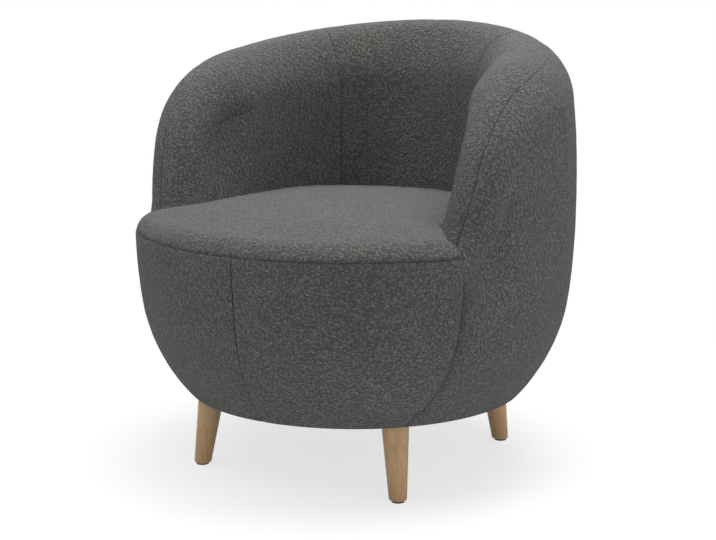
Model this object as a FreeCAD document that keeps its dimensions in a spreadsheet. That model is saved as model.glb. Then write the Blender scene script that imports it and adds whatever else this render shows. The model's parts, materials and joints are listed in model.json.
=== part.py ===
import FreeCAD, Part
import math
import os

import Sketcher
from FreeCAD import Placement, Rotation, Vector

# Upholstered tub chair. Millimetres, +Z up, the sitter faces -Y.
# The origin is on the floor, under the middle of the chair.

doc = FreeCAD.newDocument("tub_chair")

# Driving sizes
sheet = doc.addObject("Spreadsheet::Sheet", "sizes")
SIZES = [
    # round body
    ("body_radius", 381.0),
    ("widest_height", 470.0),
    ("upper_bulge", 1550.0),
    ("belly_top", 300.0),
    ("belly_bulge", 300.0),
    ("underside_height", 130.0),
    # rim of the back and arms
    ("front_split", 204.0),
    ("rim_foot_height", 398.0),
    ("nose_reach", 172.0),
    ("nose_height", 450.0),
    ("nose_lean", 17.0),
    ("swoop_radius", 250.0),
    ("back_slope", 11.5),
    ("back_height", 758.0),
    # rolled edge: outer half, inner half and seam
    ("roll_at_split", 29.0),
    ("roll_at_nose", 45.0),
    ("roll_at_arm", 92.0),
    ("roll_at_back", 61.0),
    ("inner_roll_at_split", 29.0),
    ("inner_roll_at_nose", 50.0),
    ("inner_roll_at_arm", 71.0),
    ("inner_roll_at_back", 67.0),
    ("inner_drop_at_arm", 86.0),
    ("inner_drop_at_back", 118.0),
    ("seam_turn_at_nose", 6.0),
    ("seam_turn_at_arm", 30.0),
    ("inner_seam_angle", 138.0),
    # well between the arms, seen from above at seat height
    ("well_half_width", 211.0),
    ("well_depth", 208.0),
    ("well_corner", 168.0),
    ("well_flare", 345.0),
    ("well_flare_start", 30.0),
    # seat
    ("seat_seam_height", 415.0),
    ("seat_edge_roll", 40.0),
    ("seat_edge_turn", 82.0),
    ("seat_seam_turn", 19.0),
    ("seat_middle_height", 461.0),
    ("seat_frame_top", 343.0),
    ("seat_frame_width", 48.0),
    ("strap_width", 60.0),
    ("strap_thickness", 2.0),
    ("felt_thickness", 3.0),
    # layers of the upholstery
    ("cover_thickness", 2.5),
    ("foam_thickness", 17.0),
    ("lining_thickness", 3.0),
    ("layer_clearance", 0.8),
    ("panel_clearance", 0.7),
    ("seat_clearance", 3.3),
    ("frame_inset", 29.0),
    ("dust_cover_thickness", 1.0),
    # frame
    ("ply_thickness", 18.0),
    ("rail_height", 18.0),
    ("rail_half_width", 22.0),
    ("post_set_back", 96.0),
    ("post_rise", 70.0),
    ("post_taper", 22.0),
    ("board_opening", 250.0),
    ("housing_depth", 9.0),
    # legs
    ("leg_offset", 195.0),
    ("leg_splay", 8.3),
    ("foot_diameter", 30.0),
    ("leg_top_diameter", 46.0),
    ("foot_rounding", 3.0),
    ("glide_diameter", 22.0),
    ("glide_thickness", 3.0),
    ("block_side", 46.0),
    ("block_height", 22.0),
    ("bolt_diameter", 8.0),
    ("bolt_depth", 42.0),
    ("nut_width", 13.0),
    ("nut_height", 6.5),
]
for row, (name, value) in enumerate(SIZES, start=1):
    sheet.set("A%d" % row, name)
    sheet.set("B%d" % row, repr(value))
    sheet.setAlias("B%d" % row, name)
doc.recompute()


def size(name):
    """Value of one cell of the sheet."""
    return float(sheet.get(name))


def smooth(share):
    """Eased step from 0 to 1."""
    share = min(max(share, 0.0), 1.0)
    return share * share * (3.0 - 2.0 * share)


# Heights of the flat layers, from the floor up
BOARD_BOTTOM = size("underside_height") + size("dust_cover_thickness")
BOARD_TOP = BOARD_BOTTOM + size("ply_thickness")
RING_TOP = size("seat_frame_top")
RING_BOTTOM = RING_TOP - size("ply_thickness")
FELT_BOTTOM = RING_TOP + 2.0 * size("strap_thickness")
SEAT_FOAM_BOTTOM = FELT_BOTTOM + size("felt_thickness")

# Depths of the layers below the outer surface
COVER_IN = size("cover_thickness")
FOAM_OUT = COVER_IN + size("layer_clearance")
FOAM_IN = FOAM_OUT + size("foam_thickness")
LINING_OUT = FOAM_IN + size("layer_clearance")
LINING_IN = LINING_OUT + size("lining_thickness")
CORE = size("frame_inset")


# Round body: an upper bulge of large radius over a tight belly

def body_radius_at(height, inset=0.0):
    """Radius of the round body at a height, with the surface moved in by inset."""
    top_centre = size("body_radius") - size("upper_bulge")
    tilt = math.asin((size("widest_height") - size("belly_top")) / size("upper_bulge"))
    join_r = top_centre + size("upper_bulge") * math.cos(tilt)
    belly_r = join_r - size("belly_bulge") * math.cos(tilt)
    belly_z = size("belly_top") + size("belly_bulge") * math.sin(tilt)
    if height >= size("belly_top") + inset * math.sin(tilt):
        reach = size("upper_bulge") - inset
        return top_centre + math.sqrt(reach**2 - (height - size("widest_height"))**2)
    reach = size("belly_bulge") - inset
    return belly_r + math.sqrt(reach**2 - (height - belly_z)**2)


# Rim: in side view the crest is a leaning line, an arc and a rising line

LEAN = math.radians(size("nose_lean"))
SLOPE = math.radians(size("back_slope"))
NOSE = (-size("nose_reach"), size("nose_height"))
BACK = (body_radius_at(size("back_height") - size("roll_at_back")) - size("roll_at_back"),
        size("back_height"))
FOOT = (-size("front_split"), size("rim_foot_height"))


def swoop():
    """Centre of the crest's arc, and where it meets its two lines."""
    nose_dir = (math.sin(LEAN), math.cos(LEAN))
    back_dir = (math.cos(SLOPE), math.sin(SLOPE))
    turn = nose_dir[0] * back_dir[1] - nose_dir[1] * back_dir[0]
    gap = (BACK[0] - NOSE[0], BACK[1] - NOSE[1])
    along = (gap[0] * back_dir[1] - gap[1] * back_dir[0]) / turn
    corner = (NOSE[0] + along * nose_dir[0], NOSE[1] + along * nose_dir[1])
    half_turn = (math.pi / 2 - LEAN - SLOPE) / 2
    reach = size("swoop_radius") * math.tan(half_turn)
    start = (corner[0] - reach * nose_dir[0], corner[1] - reach * nose_dir[1])
    end = (corner[0] + reach * back_dir[0], corner[1] + reach * back_dir[1])
    centre = (start[0] + size("swoop_radius") * math.cos(LEAN),
              start[1] - size("swoop_radius") * math.sin(LEAN))
    return centre, start, end


SWOOP_CENTRE, SWOOP_START, SWOOP_END = swoop()


def crest_height(y):
    """Height of the rim's crest over y, from the side view."""
    if y >= SWOOP_END[0]:
        return BACK[1] - (BACK[0] - y) * math.tan(SLOPE)
    if y >= SWOOP_START[0]:
        across = y - SWOOP_CENTRE[0]
        return SWOOP_CENTRE[1] + math.sqrt(size("swoop_radius")**2 - across**2)
    if y >= NOSE[0]:
        return NOSE[1] + (y - NOSE[0]) / math.tan(LEAN)
    share = (y - FOOT[0]) / (NOSE[0] - FOOT[0])
    return FOOT[1] + share * (NOSE[1] - FOOT[1])


def plan_angle(y, radius):
    """Plan angle from the front, in degrees, of a point at y on a circle."""
    return math.degrees(math.acos(-y / radius))


NOSE_ANGLE = plan_angle(NOSE[0], body_radius_at(NOSE[1]) - size("roll_at_nose"))
FOOT_ANGLE = plan_angle(FOOT[0], body_radius_at(FOOT[1]) - size("roll_at_split"))


def along_rim(angle, at_split, at_nose, at_arm, at_back):
    """Value that eases from the front split over nose and arm to the back."""
    if angle <= NOSE_ANGLE:
        share = smooth((angle - FOOT_ANGLE) / (NOSE_ANGLE - FOOT_ANGLE))
        return at_split + share * (at_nose - at_split)
    if angle <= 90.0:
        share = smooth((angle - NOSE_ANGLE) / (90.0 - NOSE_ANGLE))
        return at_nose + share * (at_arm - at_nose)
    share = smooth((angle - 90.0) / 90.0)
    return at_arm + share * (at_back - at_arm)


def roll_size(angle):
    """Radius of the outer half of the rolled edge."""
    return along_rim(angle, size("roll_at_split"), size("roll_at_nose"),
                     size("roll_at_arm"), size("roll_at_back"))


def on_circle(angle, radius, height):
    """Point at a plan angle from the front, in degrees."""
    turn = math.radians(angle)
    return Vector(radius * math.sin(turn), -radius * math.cos(turn), height)


def crest_point(angle):
    """Point of the crest at a plan angle from the front, on the right-hand side."""
    roll = roll_size(angle)
    height = size("nose_height")
    for _ in range(60):
        radius = body_radius_at(height - roll) - roll
        height = 0.5 * height + 0.5 * crest_height(on_circle(angle, radius, 0.0).y)
    return on_circle(angle, radius, height)


def well_radius(angle, inset=0.0):
    """Distance from the axis to the well's outline, which lies inset further out."""
    way = on_circle(angle, 1.0, 0.0)
    half = size("well_half_width") + inset
    back = size("well_depth") + inset
    corner = size("well_corner") + inset
    flare = size("well_flare") - inset
    hub = Vector(half - corner, back - corner, 0)
    if way.y * half < -size("well_flare_start") * way.x:
        hub = Vector(half + flare, -size("well_flare_start"), 0)
        along = hub.dot(way)
        return along - math.sqrt(max(along**2 - hub.dot(hub) + flare**2, 0.0))
    if way.y * half <= hub.y * way.x:
        return half / way.x
    if way.x * back <= hub.x * way.y:
        return back / way.y
    along = hub.dot(way)
    return along + math.sqrt(along**2 - hub.dot(hub) + corner**2)


def belly_heights(bottom):
    """Heights at which the layers of the belly are drawn, the same for all of them above the board."""
    rise = size("belly_top") - BOARD_TOP
    heights = [BOARD_TOP + rise * share for share in (0, 0.34, 0.67)]
    return heights if bottom >= BOARD_TOP else [bottom] + heights


SHOULDER = math.radians(60.0)
QUARTER = math.pi / 2


class Station:
    """Cross-section of the padded wall at one place along its rim.

    Places run from the left-hand split over the back, 180, to the right-hand split.
    """

    def __init__(self, place):
        self.side = 1.0 if place > 180.0 else -1.0
        angle = min(place, 360.0 - place)
        self.angle = angle
        self.at_split = angle <= FOOT_ANGLE
        self.roll = roll_size(angle)
        if self.at_split:
            rim_z = size("rim_foot_height") - self.roll
            reach = math.sqrt(body_radius_at(rim_z)**2 - size("front_split")**2)
            self.crest = Vector(reach - self.roll, FOOT[0], FOOT[1])
            self.out = Vector(1, 0, 0)
            self.up = Vector(0, 0, 1)
        else:
            self.crest = crest_point(angle)
            along = (crest_point(angle + 0.5) - crest_point(angle - 0.5)).normalize()
            outward = Vector(1, 0, 0) if angle <= 90.0 else on_circle(angle, 1.0, 0.0)
            self.out = (outward - along * outward.dot(along)).normalize()
            self.up = self.out.cross(along)
        self.inner = along_rim(angle, size("inner_roll_at_split"), size("inner_roll_at_nose"),
                               size("inner_roll_at_arm"), size("inner_roll_at_back"))
        self.drop = along_rim(angle, size("inner_roll_at_split"), size("inner_roll_at_nose"),
                              size("inner_drop_at_arm"), size("inner_drop_at_back"))
        self.seam = math.radians(along_rim(angle, size("seam_turn_at_nose"), size("seam_turn_at_nose"),
                                           size("seam_turn_at_arm"), size("seam_turn_at_arm")))
        self.lean = 0.0
        for _ in range(3):
            self.set_inner_arcs()
            foot = self.inner_foot(0.0)
            top = self.on_wall_arc(QUARTER - self.lean, 0.0)
            run = math.hypot(top.x, top.y) - math.hypot(foot.x, foot.y)
            if angle >= 90.0:
                self.lean = math.atan2(run, top.z - foot.z)

    def set_inner_arcs(self):
        """Two arcs that reach the inner wall, from its distance and its drop below the crest."""
        sin_s, cos_s = math.sin(SHOULDER), math.cos(SHOULDER)
        a11, a12 = sin_s, math.cos(self.lean) - sin_s
        a21, a22 = 1.0 - cos_s, cos_s - math.sin(self.lean)
        det = a11 * a22 - a12 * a21
        self.top_arc = (self.inner * a22 - a12 * self.drop) / det
        self.wall_arc = (a11 * self.drop - a21 * self.inner) / det

    def place(self, across, upward):
        """Point of the section plane, measured from the crest."""
        return self.crest + self.out * across + self.up * upward

    def on_roll(self, turn, inset):
        """Point of the outer half of the roll, turned outwards from the crest."""
        reach = self.roll - inset
        return self.place(reach * math.sin(turn), reach * math.cos(turn) - self.roll)

    def on_top_arc(self, turn, inset):
        """Point of the inner half's first arc, turned inwards from the crest."""
        reach = self.top_arc - inset
        return self.place(-reach * math.sin(turn), reach * math.cos(turn) - self.top_arc)

    def on_wall_arc(self, turn, inset):
        """Point of the inner half's second arc."""
        shift = self.top_arc - self.wall_arc
        reach = self.wall_arc - inset
        return self.place(-shift * math.sin(SHOULDER) - reach * math.sin(turn),
                          shift * math.cos(SHOULDER) + reach * math.cos(turn) - self.top_arc)

    def inner_foot(self, inset):
        """Where the inner wall stands beside the seat."""
        top = self.on_wall_arc(QUARTER - self.lean, inset)
        if self.at_split:
            return Vector(top.x, top.y, RING_TOP)
        angle = math.degrees(math.atan2(top.x, -top.y))
        share = smooth((self.angle - FOOT_ANGLE) / (NOSE_ANGLE + 1.0 - FOOT_ANGLE))
        straight = math.hypot(top.x, top.y)
        return on_circle(angle, straight + share * (well_radius(angle, inset) - straight), RING_TOP)

    def on_body(self, height, inset):
        """Point of the outer wall below this station's rim."""
        rim = self.on_roll(QUARTER, inset)
        rim_angle = math.degrees(math.atan2(rim.x, -rim.y))
        radius = body_radius_at(height, inset)
        angle = rim_angle
        if rim_angle < 90.0:
            at_height = 90.0 - plan_angle(FOOT[0], radius)
            at_rim = 90.0 - plan_angle(FOOT[0], body_radius_at(rim.z, inset))
            angle = 90.0 - (90.0 - rim_angle) * at_height / at_rim
        if not self.at_split:
            share = smooth((height - size("belly_top")) / (rim.z - size("belly_top")))
            radius += share * (math.hypot(rim.x, rim.y) - body_radius_at(rim.z, inset))
        return on_circle(angle, radius, height)

    def outer_wall(self, bottom, inset):
        """Points from the base up to the roll."""
        belly = size("belly_top")
        rim = self.on_roll(QUARTER, inset)
        lower = [self.on_body(z, inset) for z in belly_heights(bottom)]
        upper = [self.on_body(belly + (rim.z - belly) * share, inset) for share in (0, 0.34, 0.67)]
        return lower + upper + [rim]

    def outer_roll(self, inset, steps=4):
        """Points from the outer wall up to the rim's seam."""
        turns = [QUARTER + (self.seam - QUARTER) * step / steps for step in range(1, steps + 1)]
        return [self.on_roll(turn, inset) for turn in turns]

    def inner_side(self, inset, steps=3):
        """Points from the seam over the crest and down the inner wall."""
        end = QUARTER - self.lean
        points = [self.on_roll(self.seam, inset), self.on_roll(self.seam / 2, inset)]
        points += [self.on_top_arc(SHOULDER * step / steps, inset) for step in range(steps)]
        points += [self.on_wall_arc(SHOULDER + (end - SHOULDER) * step / steps, inset)
                   for step in range(steps + 1)]
        return points + [self.inner_foot(inset)]

    def to_side(self, points):
        """Points on this station's own side of the chair."""
        return [Vector(self.side * p.x, p.y, p.z) for p in points]


# Sections of the layers, each as a run of points at one depth

def inner_cover_run(station, inset):
    return station.inner_side(inset)


def outer_cover_run(station, inset):
    run = station.outer_wall(size("underside_height"), inset) + station.outer_roll(inset)
    slack = (run[-2] - run[-1]).normalize() * size("panel_clearance")
    return run[:-1] + [run[-1] + slack]


def foam_run(station, inset):
    return (station.outer_wall(BOARD_TOP, inset) + station.outer_roll(inset)
            + station.inner_side(inset)[1:])


def outer_lining_run(station, inset):
    return station.outer_wall(BOARD_TOP, inset)


def inner_lining_run(station, inset):
    end = QUARTER - station.lean
    return [station.on_wall_arc(SHOULDER + (end - SHOULDER) * share, inset)
            for share in (0.5, 1.0)] + [station.inner_foot(inset)]


PLACES = [57.0, 59.5, 62.0, 65.0, 68.5, 72.5, 77.0, 83.0, 90.0, 98.0, 107.0, 117.0, 128.0,
          size("inner_seam_angle"), 149.0, 159.0, 169.5]
PLACES = PLACES + [180.0] + [360.0 - place for place in reversed(PLACES)]
LEFT_END = FOOT_ANGLE
RIGHT_END = 360.0 - FOOT_ANGLE


def solid_between(near, far, guide, endless=False):
    """Solid in flat facets between two stacks of runs of points.

    Each run in near faces one in far. The guide's runs settle how each four-sided field is split,
    so that layers over one another are split alike. An endless solid closes on itself.
    """
    points = []
    known = {}
    facets = []

    def index_of(point):
        key = (round(point.x, 3), round(point.y, 3), round(point.z, 3))
        if key not in known:
            known[key] = len(points)
            points.append(point)
        return known[key]

    def field(a, b, c, d, from_first):
        halves = [(a, b, c), (a, c, d)] if from_first else [(a, b, d), (b, c, d)]
        facets.extend(half for half in halves if len(set(half)) == 3)

    top = [[index_of(point) for point in run] for run in near]
    low = [[index_of(point) for point in run] for run in far]
    steps = range(len(top[0]) - 1)
    pairs = [(row, row + 1) for row in range(len(top) - 1)]
    if endless:
        pairs.append((len(top) - 1, 0))
    for row, after in pairs:
        for step in steps:
            one = guide[row][step].distanceToPoint(guide[after][step + 1])
            other = guide[row][step + 1].distanceToPoint(guide[after][step])
            short = one <= other
            field(top[row][step], top[row][step + 1], top[after][step + 1], top[after][step], short)
            field(low[after][step], low[after][step + 1], low[row][step + 1], low[row][step], not short)
        field(top[row][-1], low[row][-1], low[after][-1], top[after][-1], True)
        field(low[row][0], top[row][0], top[after][0], low[after][0], True)
    if not endless:
        for step in steps:
            field(top[0][step + 1], top[0][step], low[0][step], low[0][step + 1], True)
            field(top[-1][step], top[-1][step + 1], low[-1][step + 1], low[-1][step], True)
    shape = Part.Shape()
    shape.makeShapeFromMesh((points, facets), 0.005)
    solid = Part.makeSolid(shape.Shells[0] if shape.Shells else Part.makeShell(shape.Faces))
    if solid.Volume < 0.0:
        solid.reverse()
    return solid


def wall_layer(run, near, far, start=LEFT_END, end=RIGHT_END):
    """Layer of the padded wall between two depths, from one place of the rim to another."""
    places = [start] + [p for p in PLACES if start + 1.0 < p < end - 1.0] + [end]
    sections = [Station(place) for place in places]
    near_runs = [s.to_side(run(s, near)) for s in sections]
    far_runs = [s.to_side(run(s, far)) for s in sections]
    guide = [s.to_side(run(s, 0.0)) for s in sections]
    return solid_between(near_runs, far_runs, guide)


# Drum: the front wall, the seat's rolled front edge and its crown

SPLIT = size("front_split") + size("panel_clearance") / 2
EDGE_ROLL = size("seat_edge_roll")
EDGE_Z = size("seat_seam_height") - EDGE_ROLL * math.sin(math.radians(size("seat_seam_turn")))
EDGE_R = body_radius_at(EDGE_Z) - EDGE_ROLL


def edge_point(turn, inset):
    """Distance and height of a point on the seat's rolled front edge, turned up from level."""
    reach = EDGE_ROLL - inset
    return EDGE_R + reach * math.cos(math.radians(turn)), EDGE_Z + reach * math.sin(math.radians(turn))


CROWN_RUN, CROWN_EDGE = edge_point(size("seat_edge_turn"), 0.0)
CROWN_RISE = size("seat_middle_height") - CROWN_EDGE
CROWN = (CROWN_RUN**2 + CROWN_RISE**2) / (2.0 * CROWN_RISE)


def crown_height(distance, inset=0.0):
    """Height of the seat's crown at a distance from the axis."""
    return size("seat_middle_height") - CROWN + math.sqrt((CROWN - inset)**2 - distance**2)


def front_profile(bottom, top, inset):
    """Distances and heights up the drum's front wall."""
    belly = size("belly_top")
    heights = belly_heights(bottom)
    if top <= EDGE_Z:
        heights += [belly, top]
        return [(body_radius_at(z, inset), z) for z in heights]
    heights += [belly, (belly + EDGE_Z) / 2]
    last = math.degrees(math.asin((top - EDGE_Z) / EDGE_ROLL))
    return [(body_radius_at(z, inset), z) for z in heights] + [edge_point(t, inset) for t in (0.0, last / 2, last)]


FRONT_SHARES = [step / 7 for step in range(-7, 8)]


def front_layer(bottom, top, near, far, shares):
    """Layer of the drum's front between two depths; shares run from -1 at the left-hand split to 1."""
    def runs(inset):
        profile = front_profile(bottom, top, inset)
        return [[on_circle(share * plan_angle(-SPLIT, radius), radius, height) for radius, height in profile]
                for share in shares]

    return solid_between(runs(near), runs(far), runs(0.0))


SEAT_HUB = Vector(0, -1.28 * SPLIT, 0)
WELL_EDGE_ROLL = 12.0
FRONT_RAYS = [0.0, 9.0, 18.0, 27.0, 36.0, 44.0, 51.0]
WELL_RAYS = [60.0, 70.0, 82.0, 95.0, 106.0, 117.0, 127.0, 137.0, 147.0, 158.0, 169.0, 180.0]


def well_half_at(y, inset):
    """Half-width of the well at a place in front of its straight sides."""
    flare = size("well_flare") - inset
    return size("well_half_width") + inset + flare - math.sqrt(flare**2 - (y + size("well_flare_start"))**2)


def seat_runs(inset, bottom, front_turns):
    """Runs over the seat from its hub to the outline and down, clockwise round the right-hand half."""
    clear = size("seat_clearance")
    step_back = SPLIT + inset
    runs = []

    def run_over(outer):
        """Run from the hub over the crown to the outer points."""
        inner = [SEAT_HUB + (Vector(outer[0].x, outer[0].y, 0) - SEAT_HUB) * share for share in (0, 0.35, 0.7)]
        return [Vector(p.x, p.y, crown_height(math.hypot(p.x, p.y), inset)) for p in inner] + outer

    front = [edge_point(turn, inset) for turn in front_turns]
    if bottom < EDGE_Z:
        front.append((body_radius_at(bottom, inset), bottom))
    for angle in FRONT_RAYS:
        runs.append(run_over([on_circle(angle, radius, height) for radius, height in front]))

    def down_well(at, top):
        """Small roll at the edge of the well and the drop beside the wall."""
        reach = WELL_EDGE_ROLL - inset
        points = []
        for turn in (90.0, 60.0, 30.0, 0.0):
            rise = math.radians(turn)
            points.append(at(-WELL_EDGE_ROLL + reach * math.cos(rise),
                             top - WELL_EDGE_ROLL + reach * math.sin(rise)))
        return points + [at(-inset, bottom)]

    def at_corner(step, height):
        return Vector(well_half_at(-SPLIT, -clear) + step, -step_back, height)

    corner_x = well_half_at(-SPLIT, -clear) - WELL_EDGE_ROLL
    corner = down_well(at_corner, crown_height(math.hypot(corner_x, SPLIT)))
    split_side = [Vector(math.sqrt(radius**2 - step_back**2), -step_back, height)
                  for radius, height in front[1:]]
    runs.append(run_over([corner[0]] + split_side))
    runs.append(run_over(corner))
    for angle in WELL_RAYS:
        reach = well_radius(angle, -clear)

        def at_ray(step, height):
            return on_circle(angle, reach + step, height)

        runs.append(run_over(down_well(at_ray, crown_height(reach - WELL_EDGE_ROLL))))
    return runs


def all_round(runs):
    """Right-hand runs followed by their mirror images, without the two on the middle plane."""
    mirrored = [[Vector(-p.x, p.y, p.z) for p in run] for run in runs[-2:0:-1]]
    return runs + mirrored


def well_wire(offset, height):
    """Closed outline of the well, offset outwards, run on past the split plane."""
    half = size("well_half_width") + offset
    back = size("well_depth") + offset
    corner = size("well_corner") + offset
    flare = size("well_flare") - offset
    start = -size("well_flare_start")
    sweep = math.asin((start - FOOT[0] + size("panel_clearance")) / flare)
    bend = math.radians(45.0)

    def flare_point(turn):
        return Vector(half + flare - flare * math.cos(turn), start - flare * math.sin(turn), height)

    hub = Vector(half - corner, back - corner, height)
    corner_mid = hub + Vector(math.cos(bend), math.sin(bend), 0) * corner
    right = [flare_point(sweep), flare_point(sweep / 2), Vector(half, start, height),
             Vector(half, hub.y, height), corner_mid, Vector(hub.x, back, height)]
    left = [Vector(-p.x, p.y, p.z) for p in right]
    return Part.Wire([
        Part.Arc(right[0], right[1], right[2]).toShape(),
        Part.makeLine(right[2], right[3]),
        Part.Arc(right[3], right[4], right[5]).toShape(),
        Part.makeLine(right[5], left[5]),
        Part.Arc(left[5], left[4], left[3]).toShape(),
        Part.makeLine(left[3], left[2]),
        Part.Arc(left[2], left[1], left[0]).toShape(),
        Part.makeLine(left[0], right[0]),
    ])


def prism(wire, height):
    return Part.Face(wire).extrude(Vector(0, 0, height))


def front_block(bottom, top):
    """Box in front of the split plane, clear of the wall's ends."""
    reach = size("body_radius") * 1.2
    depth = reach + FOOT[0] - size("panel_clearance") / 2
    return Part.makeBox(2 * reach, depth, top - bottom, Vector(-reach, -reach, bottom))


def seat_plan(bottom, top, clearance):
    """Upright block over the seat: the well and the drum's front part."""
    well = prism(well_wire(-clearance, bottom), top - bottom)
    return well.fuse(front_block(bottom, top)).removeSplitter()


# Features

PARTS = []


def add(label, shape):
    """Keep one finished sub-part under its own name."""
    part = doc.addObject("Part::Feature", label)
    part.Label = label
    part.Shape = shape
    part.Placement = Placement()
    PARTS.append(part)
    return part


def make_body(label):
    body = doc.addObject("PartDesign::Body", label)
    body.Label = label
    return body


def origin_plane(body, role):
    return [o for o in body.Origin.OriginFeatures if o.Role == role][0]


def flat_sketch(body, role):
    sketch = body.newObject("Sketcher::SketchObject", body.Label + "_sketch")
    sketch.AttachmentSupport = [(origin_plane(body, role), "")]
    sketch.MapMode = "FlatFace"
    return sketch


def add_circle(sketch, x, y, radius, driver):
    """Circle whose radius follows an expression on the sheet."""
    index = sketch.addGeometry(Part.Circle(Vector(x, y, 0), Vector(0, 0, 1), radius))
    sketch.addConstraint(Sketcher.Constraint("DistanceX", -1, 1, index, 3, x))
    sketch.addConstraint(Sketcher.Constraint("DistanceY", -1, 1, index, 3, y))
    radius_rule = sketch.addConstraint(Sketcher.Constraint("Radius", index, radius))
    sketch.setExpression("Constraints[%d]" % radius_rule, driver)
    return index


def pad(body, sketch, driver):
    feature = body.newObject("PartDesign::Pad", body.Label + "_pad")
    feature.Profile = sketch
    feature.setExpression("Length", driver)
    doc.recompute()
    return feature


def finish_body(body, placement):
    body.Placement = placement
    doc.recompute()
    PARTS.append(body)
    return body


SIDES = {"left": -1.0, "right": 1.0}
CORNERS = {"front_left": (-1, -1), "front_right": (1, -1), "rear_left": (-1, 1), "rear_right": (1, 1)}
LEG_DRIFT = BOARD_BOTTOM * math.tan(math.radians(size("leg_splay"))) / math.sqrt(2.0)
LEG_TOP_OFFSET = size("leg_offset") - LEG_DRIFT


# Base

def make_base_board():
    body = make_body("base_board")
    sketch = flat_sketch(body, "XY_Plane")
    rim = body_radius_at(BOARD_BOTTOM, FOAM_OUT) - 1.5
    sheet.set("C1", repr(rim))
    sheet.setAlias("C1", "board_radius")
    doc.recompute()
    add_circle(sketch, 0, 0, rim, "sizes.board_radius")
    add_circle(sketch, 0, 0, size("board_opening") / 2, "sizes.board_opening / 2")
    for sx, sy in CORNERS.values():
        add_circle(sketch, sx * LEG_TOP_OFFSET, sy * LEG_TOP_OFFSET, size("bolt_diameter") / 2 + 0.25,
                   "sizes.bolt_diameter / 2 + 0.25")
    pad(body, sketch, "sizes.ply_thickness")
    finish_body(body, Placement(Vector(0, 0, BOARD_BOTTOM), Rotation()))


def make_dust_cover():
    body = make_body("dust_cover")
    sketch = flat_sketch(body, "XY_Plane")
    rim = float(sheet.get("board_radius")) - 1.0
    add_circle(sketch, 0, 0, rim, "sizes.board_radius - 1")
    for sx, sy in CORNERS.values():
        add_circle(sketch, sx * LEG_TOP_OFFSET, sy * LEG_TOP_OFFSET, size("leg_top_diameter") / 2 + 1.0,
                   "sizes.leg_top_diameter / 2 + 1")
    pad(body, sketch, "sizes.dust_cover_thickness")
    finish_body(body, Placement(Vector(0, 0, size("underside_height")), Rotation()))


# Legs and their fixings

def round_bar(foot, radius, length, sides):
    """Upright round bar, in flat sides."""
    ring = [foot + on_circle(360.0 / sides * step, radius, 0.0) for step in range(sides + 1)]
    return prism(Part.makePolygon(ring), length)


BOLT_SIDES = 8
GLIDE_SIDES = 16


def bolt_line(sx, sy, height):
    """Point on the upright line of a leg's bolt."""
    return Vector(sx * LEG_TOP_OFFSET, sy * LEG_TOP_OFFSET, height)


LEG_SIDES = 24


def leg_centre(sx, sy, height):
    """Point on the axis of a splayed leg."""
    offset = size("leg_offset") - height * math.tan(math.radians(size("leg_splay"))) / math.sqrt(2.0)
    return Vector(sx * offset, sy * offset, height)


def make_leg(name, sx, sy):
    """Tapered round leg, splayed outwards, with a rounded foot."""
    bottom = size("glide_thickness")
    rounding = size("foot_rounding")
    foot = size("foot_diameter") / 2
    rings = [(bottom, foot - rounding), (bottom + 0.3 * rounding, foot - 0.3 * rounding),
             (bottom + rounding, foot), (BOARD_BOTTOM, size("leg_top_diameter") / 2)]
    axis = [leg_centre(sx, sy, height) for height, radius in rings]
    outside = [[centre + on_circle(360.0 / LEG_SIDES * step, radius, 0.0)
                for centre, (height, radius) in zip(axis, rings)] for step in range(LEG_SIDES)]
    wood = solid_between(outside, [axis] * LEG_SIDES, outside, True)
    depth = size("bolt_depth")
    bore = round_bar(bolt_line(sx, sy, BOARD_BOTTOM - depth), size("bolt_diameter") / 2, depth, BOLT_SIDES)
    add("leg_" + name, wood.cut(bore))


def make_leg_block(name, sx, sy):
    """Glue block that stiffens the base board over a leg."""
    body = make_body("leg_block_" + name)
    sketch = flat_sketch(body, "XY_Plane")
    half = size("block_side") / 2
    cut = half * 0.8
    outline = [Vector(-half, -half, 0), Vector(half, -half, 0), Vector(half, half - cut, 0),
               Vector(half - cut, half, 0), Vector(-half, half, 0)]
    for index, point in enumerate(outline):
        sketch.addGeometry(Part.LineSegment(point, outline[(index + 1) % len(outline)]))
    for index in range(len(outline)):
        sketch.addConstraint(Sketcher.Constraint("Coincident", index, 2, (index + 1) % len(outline), 1))
    add_circle(sketch, 0, 0, size("bolt_diameter") / 2 + 0.25, "sizes.bolt_diameter / 2 + 0.25")
    pad(body, sketch, "sizes.block_height")
    turn = math.degrees(math.atan2(sy, sx)) - 45.0
    finish_body(body, Placement(Vector(sx * LEG_TOP_OFFSET, sy * LEG_TOP_OFFSET, BOARD_TOP),
                                Rotation(Vector(0, 0, 1), turn)))


def at_legs(shape_at):
    """The same small part at each of the four legs."""
    return Part.makeCompound([shape_at(sx, sy) for sx, sy in CORNERS.values()])


def glide_at(sx, sy):
    spot = Vector(sx * size("leg_offset"), sy * size("leg_offset"), 0)
    return round_bar(spot, size("glide_diameter") / 2, size("glide_thickness"), GLIDE_SIDES)


def bolt_at(sx, sy):
    """Hanger bolt with its nut, drawn as one piece."""
    bottom = BOARD_BOTTOM - size("bolt_depth")
    nut_bottom = BOARD_TOP + size("block_height")
    top = nut_bottom + size("nut_height") + size("bolt_diameter") / 2
    bolt = round_bar(bolt_line(sx, sy, bottom), size("bolt_diameter") / 2, top - bottom, BOLT_SIDES)
    corner = size("nut_width") / 2 / math.cos(math.radians(30))
    ring = [bolt_line(sx, sy, nut_bottom) + on_circle(60.0 * step, corner, 0.0) for step in range(7)]
    return bolt.fuse(prism(Part.makePolygon(ring), size("nut_height")))


# Frame

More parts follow.
